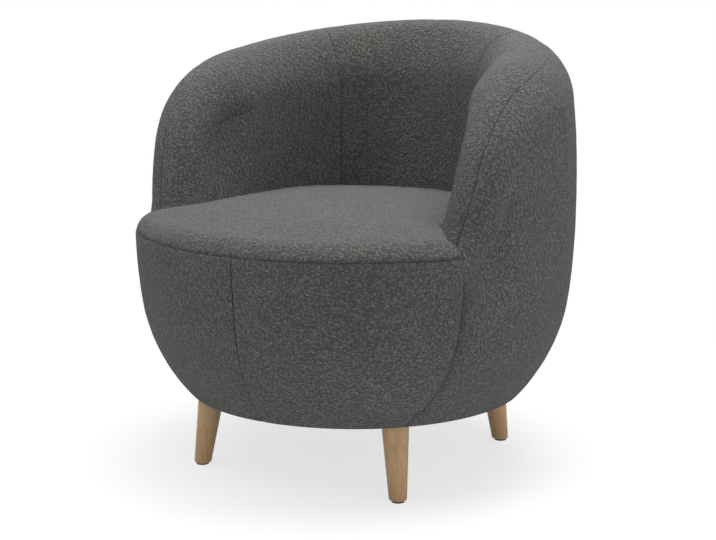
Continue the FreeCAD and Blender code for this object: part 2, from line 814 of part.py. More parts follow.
def make_rail():
    """Bent rail under the crest, carried by the ribs."""
    top_runs = []
    low_runs = []
    for place in [p for p in PLACES if 60.0 < p < 300.0]:
        station = Station(place)
        half = min(size("rail_half_width"), (station.roll - CORE) * 0.7)
        top = -CORE - 9.0
        low = top - size("rail_height")
        top_runs.append(station.to_side([station.place(-half, top), station.place(half, top)]))
        low_runs.append(station.to_side([station.place(-half, low), station.place(half, low)]))
    return solid_between(top_runs, low_runs, top_runs)


def frame_plan(outset, front_radius):
    """Plan of the seat frame as a prism: the well widened at the sides, a round front."""
    rise = size("ply_thickness")
    well = prism(well_wire(outset, RING_BOTTOM), rise)
    front = Part.makeCylinder(front_radius, rise, Vector(0, 0, RING_BOTTOM))
    half = Part.makeBox(2 * front_radius, front_radius + FOOT[0] + 20.0, rise,
                        Vector(-front_radius, -front_radius, RING_BOTTOM))
    disc = Part.makeCylinder(front_radius, rise, Vector(0, 0, RING_BOTTOM))
    return well.fuse(front.common(half)).common(disc).removeSplitter()


def make_seat_frame():
    """Plywood ring that carries the webbing."""
    front = body_radius_at(RING_BOTTOM) - LINING_IN - 3.0
    width = size("seat_frame_width")
    outer = frame_plan(LINING_IN + size("housing_depth"), front)
    return outer.cut(frame_plan(LINING_IN - width, front - width - 10.0))


def upright(points, angle):
    """Plywood plate set radially, from an outline of distances and heights."""
    corners = [on_circle(angle, radius, height) for radius, height in points]
    across = on_circle(angle + 90.0, size("ply_thickness") / 2, 0.0)
    plate = Part.Face(Part.makePolygon(corners + corners[:1]))
    plate.translate(across * -1.0)
    return plate.extrude(across * 2.0)


def largest(shape):
    return max(shape.Solids, key=lambda solid: solid.Volume)


def make_rib(angle, side, ring, rail):
    """Rib that fills the hollow of the wall, housed round the rail and the seat frame."""
    station = Station(angle)
    run = station.outer_wall(BOARD_TOP, CORE) + station.outer_roll(CORE, 3)
    run += station.inner_side(CORE, 2)[1:]
    outline = [(math.hypot(p.x, p.y), p.z) for p in run]
    outline.append((outline[-1][0], BOARD_TOP))
    return largest(upright(outline, side * angle).cut(ring).cut(rail))


def make_arm_post(side, ring, rail):
    """Post under the front end of the rail, square to the side."""
    thick = size("ply_thickness")
    front = -size("post_set_back") - thick / 2
    clear = CORE + size("layer_clearance") * 4
    inside = well_half_at(front, clear)

    def outside(height):
        return math.sqrt((body_radius_at(height) - clear)**2 - front**2)

    heights = [BOARD_TOP + (RING_BOTTOM - BOARD_TOP) * step / 4 for step in range(5)]
    top = size("nose_height") + size("post_rise")
    outline = [(inside, BOARD_TOP)] + [(outside(z), z) for z in heights]
    taper = size("post_taper")
    outline += [(outline[-1][0], RING_TOP), (outline[-1][0] - taper / 2, top), (inside + taper, top),
                (inside + taper, RING_TOP + taper), (inside, RING_TOP)]
    corners = [Vector(side * x, front, z) for x, z in outline]
    plate = Part.Face(Part.makePolygon(corners + corners[:1])).extrude(Vector(0, thick, 0))
    return largest(plate.cut(ring).cut(rail))


def make_front_rib(angle):
    """Rib of the drum's front, under the seat frame."""
    heights = [BOARD_TOP + (RING_BOTTOM - BOARD_TOP) * step / 5 for step in range(6)]
    outline = [(body_radius_at(z, LINING_IN + 2.5), z) for z in heights]
    outline += [(outline[-1][0] - 60.0, RING_BOTTOM), (outline[0][0] - 70.0, BOARD_TOP)]
    return upright(outline, angle)


RIB_ANGLES = {"side": 96.0, "rear": 121.0, "back": 162.0}
FRONT_RIBS = {"front_left": -30.0, "front_middle": 0.0, "front_right": 30.0}


def make_frame():
    rail = make_rail()
    ring = make_seat_frame()
    add("top_rail", rail)
    add("seat_frame", ring)
    for side_name, side in SIDES.items():
        add("arm_post_" + side_name, make_arm_post(side, ring, rail))
        for name, angle in RIB_ANGLES.items():
            add("rib_%s_%s" % (name, side_name), make_rib(angle, side, ring, rail))
    for name, angle in FRONT_RIBS.items():
        add("rib_" + name, make_front_rib(angle))


# Seat

STRAP_ROWS = [-130.0, -45.0, 40.0, 125.0]
STRAP_COLUMNS = [-120.0, -40.0, 40.0, 120.0]


def make_webbing():
    """Straps over the seat frame, the lengthwise ones on top."""
    width = size("strap_width")
    thick = size("strap_thickness")
    reach = 2.0 * size("body_radius")
    bound = seat_plan(RING_TOP, FELT_BOTTOM, size("seat_clearance"))
    bound = bound.common(Part.makeCylinder(body_radius_at(RING_TOP) - FOAM_IN - 6.0, 2 * thick,
                                           Vector(0, 0, RING_TOP)))
    across = [Part.makeBox(reach, width, thick, Vector(-reach / 2, y - width / 2, RING_TOP))
              for y in STRAP_ROWS]
    along = [Part.makeBox(width, reach, thick, Vector(x - width / 2, -reach / 2, RING_TOP + thick))
             for x in STRAP_COLUMNS]
    add("webbing_across", Part.makeCompound([bound.common(strap) for strap in across]))
    add("webbing_lengthwise", Part.makeCompound([bound.common(strap) for strap in along]))


def make_seat():
    """Felt, pad and cover of the seat."""
    clear = size("panel_clearance")
    plan = seat_plan(RING_TOP, size("seat_middle_height") + 5.0, size("seat_clearance"))
    felt_band = Part.makeCylinder(body_radius_at(RING_TOP) - FOAM_IN - 4.0, size("felt_thickness"),
                                  Vector(0, 0, FELT_BOTTOM))
    add("seat_felt", plan.common(felt_band))
    top_turn = size("seat_edge_turn")
    foam_turns = [top_turn, top_turn * 0.66, top_turn * 0.33, 0.0]
    hub = SEAT_HUB + Vector(0, 0, SEAT_FOAM_BOTTOM)
    depth = FOAM_OUT + size("layer_clearance") / 2
    surface = [run + [hub] for run in all_round(seat_runs(depth, SEAT_FOAM_BOTTOM, foam_turns))]
    core = [[run[0]] * (len(run) - 1) + [hub] for run in surface]
    add("seat_foam", solid_between(surface, core, surface, True))
    seam = size("seat_seam_height") + clear / 2
    seam_turn = math.degrees(math.asin((seam - EDGE_Z) / EDGE_ROLL))
    cover_turns = [top_turn + (seam_turn - top_turn) * step / 4 for step in range(5)]
    outside = all_round(seat_runs(0.0, seam, cover_turns))
    inside = all_round(seat_runs(COVER_IN, seam, cover_turns))
    add("seat_cover", solid_between(outside, inside, outside, True))


def make_front():
    """Padding, lining and cover panels of the drum's front."""
    bottom = size("underside_height")
    seam = size("seat_seam_height") - size("panel_clearance") / 2
    middle = size("panel_clearance") / 2 / size("body_radius")
    left = [share for share in FRONT_SHARES if share < 0.0] + [-middle]
    right = [-share for share in reversed(left)]
    add("front_cover_left", front_layer(bottom, seam, 0.0, COVER_IN, left))
    add("front_cover_right", front_layer(bottom, seam, 0.0, COVER_IN, right))
    add("front_foam", front_layer(BOARD_TOP, SEAT_FOAM_BOTTOM, FOAM_OUT, FOAM_IN, FRONT_SHARES))
    add("front_lining", front_layer(BOARD_TOP, RING_TOP, LINING_OUT, LINING_IN, FRONT_SHARES))


# Arms and back

FOAM_JOINTS = [68.5, 90.0, 117.0, size("inner_seam_angle"), 159.0]
FOAM_GLUE = 0.06


def make_wall():
    """Padding, linings and cover panels of the arms and back."""
    seam = size("inner_seam_angle")
    slack = math.degrees(size("panel_clearance") / 2 / 300.0)
    centre_slack = math.degrees(size("panel_clearance") / 2 / size("body_radius"))
    add("inner_cover_left", wall_layer(inner_cover_run, 0.0, COVER_IN, LEFT_END, seam - slack))
    add("inner_cover_back", wall_layer(inner_cover_run, 0.0, COVER_IN, seam + slack, 360.0 - seam - slack))
    add("inner_cover_right", wall_layer(inner_cover_run, 0.0, COVER_IN, 360.0 - seam + slack, RIGHT_END))
    add("outer_cover_left", wall_layer(outer_cover_run, 0.0, COVER_IN, LEFT_END, 180.0 - centre_slack))
    add("outer_cover_right", wall_layer(outer_cover_run, 0.0, COVER_IN, 180.0 + centre_slack, RIGHT_END))
    joints = [LEFT_END] + FOAM_JOINTS + [360.0 - joint for joint in reversed(FOAM_JOINTS)] + [RIGHT_END]
    add("wrap_foam", Part.makeCompound([
        wall_layer(foam_run, FOAM_OUT, FOAM_IN, start + FOAM_GLUE, end - FOAM_GLUE)
        for start, end in zip(joints, joints[1:])]))
    add("outer_lining", wall_layer(outer_lining_run, LINING_OUT, LINING_IN))
    add("inner_lining", wall_layer(inner_lining_run, LINING_OUT, LINING_IN))


make_base_board()
make_dust_cover()
for corner, (sx, sy) in CORNERS.items():
    make_leg(corner, sx, sy)
    make_leg_block(corner, sx, sy)
add("glides", at_legs(glide_at))
add("hanger_bolts", at_legs(bolt_at))
make_frame()
make_webbing()
make_seat()
make_front()
make_wall()
doc.recompute()

for item in doc.Objects:
    if "Invalid" in item.State or "Error" in item.State:
        raise RuntimeError("feature failed: " + item.Label)
os.makedirs("parts", exist_ok=True)
for part in PARTS:
    if part.Shape.isNull() or not part.Shape.isValid() or not part.Shape.Solids:
        raise RuntimeError("bad shape: " + part.Label)
    part.Shape.exportStep("parts/%s.step" % part.Label)
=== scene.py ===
import json
import math

import bpy
import bmesh
from mathutils import Matrix, Vector, noise


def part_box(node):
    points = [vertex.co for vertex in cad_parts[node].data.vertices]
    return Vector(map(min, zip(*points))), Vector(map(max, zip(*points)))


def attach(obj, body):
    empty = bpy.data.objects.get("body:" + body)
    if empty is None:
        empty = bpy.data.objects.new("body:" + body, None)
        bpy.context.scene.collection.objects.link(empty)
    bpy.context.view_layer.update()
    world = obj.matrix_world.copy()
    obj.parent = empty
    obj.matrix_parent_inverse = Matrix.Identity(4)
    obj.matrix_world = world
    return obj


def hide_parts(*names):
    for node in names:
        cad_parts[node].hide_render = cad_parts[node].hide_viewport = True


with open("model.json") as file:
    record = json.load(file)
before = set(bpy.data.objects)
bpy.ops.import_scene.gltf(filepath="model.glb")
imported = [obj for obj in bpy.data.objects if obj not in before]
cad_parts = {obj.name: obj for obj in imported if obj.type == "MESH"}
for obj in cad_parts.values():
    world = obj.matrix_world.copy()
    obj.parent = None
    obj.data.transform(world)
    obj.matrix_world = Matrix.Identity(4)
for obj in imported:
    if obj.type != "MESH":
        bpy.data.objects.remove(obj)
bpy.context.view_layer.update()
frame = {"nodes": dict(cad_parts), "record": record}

bl_info = {
    "name": "Tub Chair Dressing",
    "version": (1, 0, 0),
    "blender": (4, 5, 0),
    "location": "3D View > Sidebar > Tub Chair",
    "description": "Covers, legs and finishes of an upholstered tub chair",
    "category": "Object",
}

# Metres, +Z up, the sitter faces -Y. Plan angles are in degrees from the front, right-hand side.

# Sizes taken from the frame

WALL_LOW, WALL_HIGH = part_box("outer_cover_right")
SEAT_LOW, SEAT_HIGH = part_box("seat_cover")
UNDERSIDE = WALL_LOW[2]
BACK_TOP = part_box("inner_cover_back")[1][2]
SEAT_SEAM = SEAT_LOW[2]
SEAT_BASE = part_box("seat_foam")[0][2]
SEAT_MIDDLE = SEAT_HIGH[2]
WALL_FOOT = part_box("inner_cover_back")[0][2]
SPLIT = -WALL_LOW[1]
BODY_RADIUS = WALL_HIGH[0]

QUARTER = math.pi / 2
SIDE_ANGLE = 90.0
REAR_ANGLE = 180.0

# Round body: an upper bulge of large radius over a tight belly

WIDEST = 0.470
UPPER_BULGE = 1.550
BELLY_TOP = 0.300
BELLY_BULGE = 0.300


def body_radius_at(height, inset=0.0):
    """Radius of the round body at a height, with the surface moved in by inset."""
    top_centre = BODY_RADIUS - UPPER_BULGE
    tilt = math.asin((WIDEST - BELLY_TOP) / UPPER_BULGE)
    if height >= BELLY_TOP + inset * math.sin(tilt):
        return top_centre + math.sqrt((UPPER_BULGE - inset) ** 2 - (height - WIDEST) ** 2)
    belly_reach = top_centre + (UPPER_BULGE - BELLY_BULGE) * math.cos(tilt)
    belly_height = BELLY_TOP + BELLY_BULGE * math.sin(tilt)
    return belly_reach + math.sqrt((BELLY_BULGE - inset) ** 2 - (height - belly_height) ** 2)


def eased(share):
    """Eased step from 0 to 1."""
    share = min(max(share, 0.0), 1.0)
    return share * share * (3.0 - 2.0 * share)


def on_circle(angle, radius, height=0.0):
    """Point at a plan angle."""
    turn = math.radians(angle)
    return Vector((radius * math.sin(turn), -radius * math.cos(turn), height))


def plan_angle(y, radius):
    """Plan angle of a point at y on a circle."""
    return math.degrees(math.acos(-y / radius))


def mirrored(points, side=-1.0):
    """The points on the left-hand side (-1), or as they are (1)."""
    return [Vector((side * p.x, p.y, p.z)) for p in points]


# Rim of the arms and back: crest line in side view, and the size of the roll along it

NOSE_LEAN = math.radians(17.0)
BACK_SLOPE = math.radians(11.5)
SWOOP_RADIUS = 0.250
NOSE = (-0.172, 0.450)
ROLL = {"split": 0.029, "nose": 0.045, "arm": 0.092, "back": 0.061}
INNER = {"split": 0.029, "nose": 0.050, "arm": 0.071, "back": 0.067}
DROP = {"split": 0.029, "nose": 0.050, "arm": 0.086, "back": 0.118}
RIM_SEAM = {"split": 6.0, "nose": 6.0, "arm": 30.0, "back": 30.0}
INNER_SEAM = 138.0
BACK = (body_radius_at(BACK_TOP - ROLL["back"]) - ROLL["back"], BACK_TOP)
RIM_FOOT = (-SPLIT, 0.398)
NOSE_ANGLE = plan_angle(NOSE[0], body_radius_at(NOSE[1]) - ROLL["nose"])
FOOT_ANGLE = plan_angle(RIM_FOOT[0], body_radius_at(RIM_FOOT[1]) - ROLL["split"])
CREST_ROUNDS = 60


def swoop():
    """Centre of the crest's arc, and where it meets its two lines."""
    nose_dir = (math.sin(NOSE_LEAN), math.cos(NOSE_LEAN))
    back_dir = (math.cos(BACK_SLOPE), math.sin(BACK_SLOPE))
    turn = nose_dir[0] * back_dir[1] - nose_dir[1] * back_dir[0]
    gap = (BACK[0] - NOSE[0], BACK[1] - NOSE[1])
    along = (gap[0] * back_dir[1] - gap[1] * back_dir[0]) / turn
    corner = (NOSE[0] + along * nose_dir[0], NOSE[1] + along * nose_dir[1])
    reach = SWOOP_RADIUS * math.tan((QUARTER - NOSE_LEAN - BACK_SLOPE) / 2)
    start = (corner[0] - reach * nose_dir[0], corner[1] - reach * nose_dir[1])
    centre = (start[0] + SWOOP_RADIUS * math.cos(NOSE_LEAN),
              start[1] - SWOOP_RADIUS * math.sin(NOSE_LEAN))
    return centre, start[0], corner[0] + reach * back_dir[0]


SWOOP_CENTRE, SWOOP_START, SWOOP_END = swoop()


def crest_height(y):
    """Height of the crest over y, from the side view."""
    if y >= SWOOP_END:
        return BACK[1] - (BACK[0] - y) * math.tan(BACK_SLOPE)
    if y >= SWOOP_START:
        return SWOOP_CENTRE[1] + math.sqrt(SWOOP_RADIUS ** 2 - (y - SWOOP_CENTRE[0]) ** 2)
    if y >= NOSE[0]:
        return NOSE[1] + (y - NOSE[0]) / math.tan(NOSE_LEAN)
    share = (y - RIM_FOOT[0]) / (NOSE[0] - RIM_FOOT[0])
    return RIM_FOOT[1] + share * (NOSE[1] - RIM_FOOT[1])


def along_rim(angle, at):
    """Value that eases from the front split over nose and arm to the back."""
    if angle <= NOSE_ANGLE:
        share = eased((angle - FOOT_ANGLE) / (NOSE_ANGLE - FOOT_ANGLE))
        return at["split"] + share * (at["nose"] - at["split"])
    if angle <= SIDE_ANGLE:
        share = eased((angle - NOSE_ANGLE) / (SIDE_ANGLE - NOSE_ANGLE))
        return at["nose"] + share * (at["arm"] - at["nose"])
    share = eased((angle - SIDE_ANGLE) / (REAR_ANGLE - SIDE_ANGLE))
    return at["arm"] + share * (at["back"] - at["arm"])


def crest_point(angle):
    """Point of the crest at a plan angle, found in rounds because the body narrows with height."""
    roll = along_rim(angle, ROLL)
    height = NOSE[1]
    for _ in range(CREST_ROUNDS):
        radius = body_radius_at(height - roll) - roll
        height = 0.5 * height + 0.5 * crest_height(on_circle(angle, radius).y)
    return on_circle(angle, radius, height)


# Well between the arms, seen from above

WELL_HALF = 0.211
WELL_DEPTH = 0.208
WELL_CORNER = 0.168
WELL_FLARE = 0.345
WELL_FLARE_START = 0.030


def well_radius(angle, inset=0.0):
    """Distance from the axis to the outline of the well."""
    way = on_circle(angle, 1.0)
    half, back, corner = WELL_HALF + inset, WELL_DEPTH + inset, WELL_CORNER + inset
    flare = WELL_FLARE - inset
    hub = Vector((half - corner, back - corner, 0))
    if way.y * half < -WELL_FLARE_START * way.x:
        hub = Vector((half + flare, -WELL_FLARE_START, 0))
        along = hub.dot(way)
        return along - math.sqrt(max(along ** 2 - hub.dot(hub) + flare ** 2, 0.0))
    if way.y * half <= hub.y * way.x:
        return half / way.x
    if way.x * back <= hub.x * way.y:
        return back / way.y
    along = hub.dot(way)
    return along + math.sqrt(along ** 2 - hub.dot(hub) + corner ** 2)


def well_half_at(y, inset):
    """Half-width of the well at a place in front of its straight sides."""
    flare = WELL_FLARE - inset
    return WELL_HALF + inset + flare - math.sqrt(flare ** 2 - (y + WELL_FLARE_START) ** 2)


# Rolled front edge and crown of the seat

EDGE_ROLL = 0.040
EDGE_HEIGHT = SEAT_SEAM - EDGE_ROLL * math.sin(math.radians(19.0))
EDGE_REACH = body_radius_at(EDGE_HEIGHT) - EDGE_ROLL
EDGE_SEAM_TURN = math.asin((SEAT_SEAM - EDGE_HEIGHT) / EDGE_ROLL)
EDGE_TOP_TURN = math.radians(82.0)


def edge_point(turn, inset=0.0):
    """Distance and height of a point on the rolled edge, turned up from level."""
    reach = EDGE_ROLL - inset
    return EDGE_REACH + reach * math.cos(turn), EDGE_HEIGHT + reach * math.sin(turn)


CROWN_REACH, CROWN_START = edge_point(EDGE_TOP_TURN)
CROWN_RISE = SEAT_MIDDLE - CROWN_START
CROWN_RADIUS = (CROWN_REACH ** 2 + CROWN_RISE ** 2) / (2.0 * CROWN_RISE)


def crown_height(distance):
    """Height of the seat's crown at a distance from the axis."""
    return SEAT_MIDDLE - CROWN_RADIUS + math.sqrt(CROWN_RADIUS ** 2 - distance ** 2)


# Cross-sections of the padded wall

SHOULDER = math.radians(60.0)
LEAN_ROUNDS = 3
SAME_ANGLE = 1e-6
ASIDE = 0.5
PAST_NOSE = 1.0
WALL_STEPS, ROLL_STEPS = 64, 22
COVER_STEPS = (WALL_STEPS, ROLL_STEPS, 12, 22)
BACKING_STEPS = (16, 6, 4, 5)


class Section:
    """Cross-section of the padded wall at one place along its rim, on the right-hand side."""

    def __init__(self, angle):
        self.angle = angle
        self.at_split = angle <= FOOT_ANGLE + SAME_ANGLE
        self.roll = along_rim(angle, ROLL)
        if self.at_split:
            reach = math.sqrt(body_radius_at(RIM_FOOT[1] - self.roll) ** 2 - SPLIT ** 2)
            self.crest = Vector((reach - self.roll, RIM_FOOT[0], RIM_FOOT[1]))
            self.out, self.up = Vector((1, 0, 0)), Vector((0, 0, 1))
        else:
            self.crest = crest_point(angle)
            along = (crest_point(angle + ASIDE) - crest_point(angle - ASIDE)).normalized()
            outward = Vector((1, 0, 0)) if angle <= SIDE_ANGLE else on_circle(angle, 1.0)
            self.out = (outward - along * outward.dot(along)).normalized()
            self.up = self.out.cross(along)
        self.inner = along_rim(angle, INNER)
        self.drop = along_rim(angle, DROP)
        self.seam = math.radians(along_rim(angle, RIM_SEAM))
        self.lean = 0.0
        for _ in range(LEAN_ROUNDS):
            self.set_inner_arcs()
            foot = self.inner_foot(0.0)
            top = self.on_wall_arc(QUARTER - self.lean, 0.0)
            if angle >= SIDE_ANGLE:
                self.lean = math.atan2(top.xy.length - foot.xy.length, top.z - foot.z)

    def set_inner_arcs(self):
        """Two arcs that reach the inner wall, from its distance and its drop below the crest."""
        sin_s, cos_s = math.sin(SHOULDER), math.cos(SHOULDER)
        a11, a12 = sin_s, math.cos(self.lean) - sin_s
        a21, a22 = 1.0 - cos_s, cos_s - math.sin(self.lean)
        det = a11 * a22 - a12 * a21
        self.top_arc = (self.inner * a22 - a12 * self.drop) / det
        self.wall_arc = (a11 * self.drop - a21 * self.inner) / det

    def place(self, across, upward):
        """Point in this section, measured from its crest."""
        return self.crest + self.out * across + self.up * upward

    def on_roll(self, turn, inset):
        """Point on the outer half of the rolled edge, turned outwards from its top."""
        reach = self.roll - inset
        return self.place(reach * math.sin(turn), reach * math.cos(turn) - self.roll)

    def on_top_arc(self, turn, inset):
        """Point on the inner half of the rolled edge, turned inwards from its top."""
        reach = self.top_arc - inset
        return self.place(-reach * math.sin(turn), reach * math.cos(turn) - self.top_arc)

    def on_wall_arc(self, turn, inset):
        """Point on the arc that leads from the inner shoulder to the inner wall."""
        shift, reach = self.top_arc - self.wall_arc, self.wall_arc - inset
        return self.place(-shift * math.sin(SHOULDER) - reach * math.sin(turn),
                          shift * math.cos(SHOULDER) + reach * math.cos(turn) - self.top_arc)

    def inner_foot(self, inset):
        """Lowest point of the inner wall, on the outline of the well behind the nose."""
        top = self.on_wall_arc(QUARTER - self.lean, inset)
        if self.at_split:
            return Vector((top.x, top.y, WALL_FOOT))
        angle = math.degrees(math.atan2(top.x, -top.y))
        share = eased((self.angle - FOOT_ANGLE) / (NOSE_ANGLE + PAST_NOSE - FOOT_ANGLE))
        straight = top.xy.length
        reach = straight + share * (well_radius(angle, inset) - straight)
        return on_circle(angle, reach, WALL_FOOT)

    def on_body(self, height, inset):
        """Point of the outer wall below this section's rim."""
        rim = self.on_roll(QUARTER, inset)
        rim_angle = math.degrees(math.atan2(rim.x, -rim.y))
        radius = body_radius_at(height, inset)
        angle = rim_angle
        if rim_angle < SIDE_ANGLE:
            at_height = SIDE_ANGLE - plan_angle(RIM_FOOT[0], radius)
            at_rim = SIDE_ANGLE - plan_angle(RIM_FOOT[0], body_radius_at(rim.z, inset))
            angle = SIDE_ANGLE - (SIDE_ANGLE - rim_angle) * at_height / at_rim
        if not self.at_split:
            share = eased((height - BELLY_TOP) / (rim.z - BELLY_TOP))
            radius += share * (rim.xy.length - body_radius_at(rim.z, inset))
        return on_circle(angle, radius, height)

    def run(self, inset, wall_steps, roll_steps, inner_steps, foot_steps):
        """Points up the outer wall, over the roll and down the inner wall to its foot."""
        rim = self.on_roll(QUARTER, inset)
        end = QUARTER - self.lean
        points = [self.on_body(UNDERSIDE + (rim.z - UNDERSIDE) * k / wall_steps, inset)
                  for k in range(wall_steps)]
        points += [self.on_roll(QUARTER * (1.0 - k / roll_steps), inset)
                   for k in range(roll_steps)]
        points += [self.on_top_arc(SHOULDER * k / inner_steps, inset)
                   for k in range(inner_steps)]
        points += [self.on_wall_arc(SHOULDER + (end - SHOULDER) * k / inner_steps, inset)
                   for k in range(inner_steps)]
        top, foot = self.on_wall_arc(end, inset), self.inner_foot(inset)
        return points + [top.lerp(foot, k / foot_steps) for k in range(foot_steps + 1)]


# Mesh helpers

WELD = 0.00005
NO_LENGTH = 1e-12
# Sides of the round cord that paints shade into a seam's groove.
SHADE_CORD_SIDES = 8
OFF_AXIS = Vector((0.3, 0.2, 1.0))
SLOW_WAVES, QUICK_WAVES = 7.0, 42.0
QUICK_SHIFT = Vector((3.1, 1.7, 5.3))
SLOW_SHARE = 0.75


def mesh_object(name, points, faces, finish, body="root"):
    """Named object with its finish, riding on the chair."""
    mesh = bpy.data.meshes.new(name)
    mesh.from_pydata([tuple(p) for p in points], [], faces)
    bm = bmesh.new()
    bm.from_mesh(mesh)
    bmesh.ops.remove_doubles(bm, verts=bm.verts, dist=WELD)
    bmesh.ops.recalc_face_normals(bm, faces=bm.faces)
    bm.to_mesh(mesh)
    bm.free()
    mesh.polygons.foreach_set("use_smooth", [True] * len(mesh.polygons))
    mesh.materials.append(finish)
    obj = bpy.data.objects.new(name, mesh)
    bpy.context.scene.collection.objects.link(obj)
    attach(obj, body)
    return obj


def loops_to_faces(loops):
    """Quads between neighbouring closed loops of equal length, and a cap on each end."""
    count, rows = len(loops[0]), len(loops)
    points = [p for loop in loops for p in loop]
    faces = []
    for here in range(0, (rows - 1) * count, count):
        there = here + count
        for k in range(count):
            after = (k + 1) % count
            faces.append((here + k, here + after, there + after, there + k))
    faces.append(tuple(range(count)))
    faces.append(tuple(reversed(range((rows - 1) * count, rows * count))))
    return points, faces


def normals_of(grid):
    """Unit normals of a grid of points, from its neighbours."""
    rows, cols = len(grid), len(grid[0])
    result = []
    for i in range(rows):
        line = []
        for j in range(cols):
            a = grid[min(i + 1, rows - 1)][j] - grid[max(i - 1, 0)][j]
            b = grid[i][min(j + 1, cols - 1)] - grid[i][max(j - 1, 0)]
            n = a.cross(b)
            line.append(n.normalized() if n.length > NO_LENGTH else Vector((0, 0, 1)))
        result.append(line)
    return result


def groove(distance, depth, width):
    """Depth of a sewn seam at a distance from it."""
    return depth * math.exp(-(distance / width) ** 2)


def sunk_seam_shade_cord(settings):
    """Depth of the middle of the dark seam cord below the cover; the cord is painted shade in the
    seam's groove.
    """
    return settings.seam_depth + settings.shade_cord_radius * 0.2


def seam_shade_cord(name, points, radius):
    """Near-black thin round cord sunk along a seam: the seam is real, and the cord's dark colour
    is painted shade in its groove.
    """
    loops = []
    for k, point in enumerate(points):
        way = (points[min(k + 1, len(points) - 1)] - points[max(k - 1, 0)]).normalized()
        side = way.cross(OFF_AXIS).normalized()
        rise = side.cross(way)
        turns = [2 * math.pi / SHADE_CORD_SIDES * n for n in range(SHADE_CORD_SIDES)]
        loops.append([point + (side * math.cos(t) + rise * math.sin(t)) * radius for t in turns])
    cells, faces = loops_to_faces(loops)
    return mesh_object(name, cells, faces, finishes()["seam_thread"])


def softness(point, amount):
    """Gentle unevenness of stuffing and pile, the same on every run."""
    slow = noise.noise(point * SLOW_WAVES)
    quick = noise.noise(point * QUICK_WAVES + QUICK_SHIFT)
    return amount * (SLOW_SHARE * slow + (1.0 - SLOW_SHARE) * quick)


# Finishes

class Finish:
    """Material under construction. Its methods add nodes and give back their outputs."""

    def __init__(self, name):
        self.material = bpy.data.materials.new(name)
        self.material.use_nodes = True
        self.nodes = self.material.node_tree.nodes
        self.links = self.material.node_tree.links
        self.shader = self.nodes["Principled BSDF"]
        self.place = self.nodes.new("ShaderNodeTexCoord").outputs["Object"]

    def feed(self, name, source):
        """Link an output to the main shader."""
        self.links.new(source, self.shader.inputs[name])

    def cloud(self, place, scale, detail, distortion=0.0, output="Fac"):
        """Cloudy noise."""
        node = self.nodes.new("ShaderNodeTexNoise")
        node.inputs["Scale"].default_value = scale
        node.inputs["Detail"].default_value = detail
        node.inputs["Distortion"].default_value = distortion
        self.links.new(place, node.inputs["Vector"])
        return node.outputs[output]

    def multiply_add(self, kind, value, factor, addend):
        """A value times a plain factor, plus another value."""
        node = self.nodes.new(kind)
        node.operation = "MULTIPLY_ADD"
        node.inputs[1].default_value = factor
        self.links.new(value, node.inputs[0])
        self.links.new(addend, node.inputs[2])
        return node.outputs[0]

    def ramp(self, factor, stops):
        """Colours along a value, with the two outer stops first."""
        node = self.nodes.new("ShaderNodeValToRGB")
        band = node.color_ramp
        for index in (0, 1):
            position, colour = stops[index]
            band.elements[index].position = position
            band.elements[index].color = (*colour, 1.0)
        for position, colour in stops[2:]:
            band.elements.new(position).color = (*colour, 1.0)
        self.links.new(factor, node.inputs["Fac"])
        return node.outputs["Color"]

    def colour(self, tone, tint, share):
        """Main colour: a tone multiplied by a share of a tint."""
        node = self.nodes.new("ShaderNodeMix")
        node.data_type = "RGBA"
        node.blend_type = "MULTIPLY"
        node.inputs["Factor"].default_value = share
        self.links.new(tone, node.inputs["A"])
        self.links.new(tint, node.inputs["B"])
        self.feed("Base Color", node.outputs["Result"])

    def roughness(self, factor, low, high):
        """Roughness between two stops, each a position and a value."""
        stops = [(position, (value,) * 3) for position, value in (low, high)]
        self.feed("Roughness", self.ramp(factor, stops))

    def relief(self, height, strength, depth):
        """Fine relief of the surface."""
        node = self.nodes.new("ShaderNodeBump")
        node.inputs["Strength"].default_value = strength
        node.inputs["Distance"].default_value = depth
        self.links.new(height, node.inputs["Height"])
        self.feed("Normal", node.outputs["Normal"])


def looped_fabric(settings):
    """Short curly pile: crumpled loops over a woven ground, with patches of brushed direction.
    Painted shade darkens the hollows between loops and a painted highlight lightens the loop tips.
    """
    finish = Finish("looped_fabric")
    base = Vector(settings.fabric_colour)
    crumple = finish.cloud(finish.place, scale=130.0, detail=2.0, output="Color")
    bent = finish.multiply_add("ShaderNodeVectorMath", crumple, (0.006, 0.006, 0.006),
                               finish.place)
    loops = finish.nodes.new("ShaderNodeTexVoronoi")
    loops.feature = "SMOOTH_F1"
    loops.inputs["Smoothness"].default_value = 0.35
    loops.inputs["Scale"].default_value = 1.0 / settings.loop_size
    finish.links.new(bent, loops.inputs["Vector"])
    strands = finish.cloud(finish.place, scale=2.2 / settings.loop_size, detail=4.0,
                           distortion=1.6)
    patches = finish.cloud(finish.place, scale=14.0, detail=3.0)
    pile = finish.multiply_add("ShaderNodeMath", loops.outputs["Distance"], -0.9, strands)
    # Colour ramp over the pile: painted shade in the hollows between loops, the plain colour on
    # the flanks, and a painted highlight on the loop tips.
    painted_shade_hollow, flank, painted_highlight_tip = base * 0.34, base * 0.95, base * 1.85
    tone = finish.ramp(pile, [(0.02, painted_shade_hollow), (0.58, painted_highlight_tip), (0.28, flank)])
    brushed = finish.ramp(patches, [(0.35, (0.84, 0.84, 0.85)), (0.70, (1.0, 1.0, 0.99))])
    finish.colour(tone, brushed, share=1.0)
    finish.relief(pile, strength=1.0, depth=0.0062)
    finish.roughness(pile, (0.2, 0.98), (0.7, 0.86))
    finish.shader.inputs["Specular IOR Level"].default_value = 0.18
    finish.shader.inputs["Sheen Weight"].default_value = 0.22
    finish.shader.inputs["Sheen Roughness"].default_value = 0.55
    return finish.material


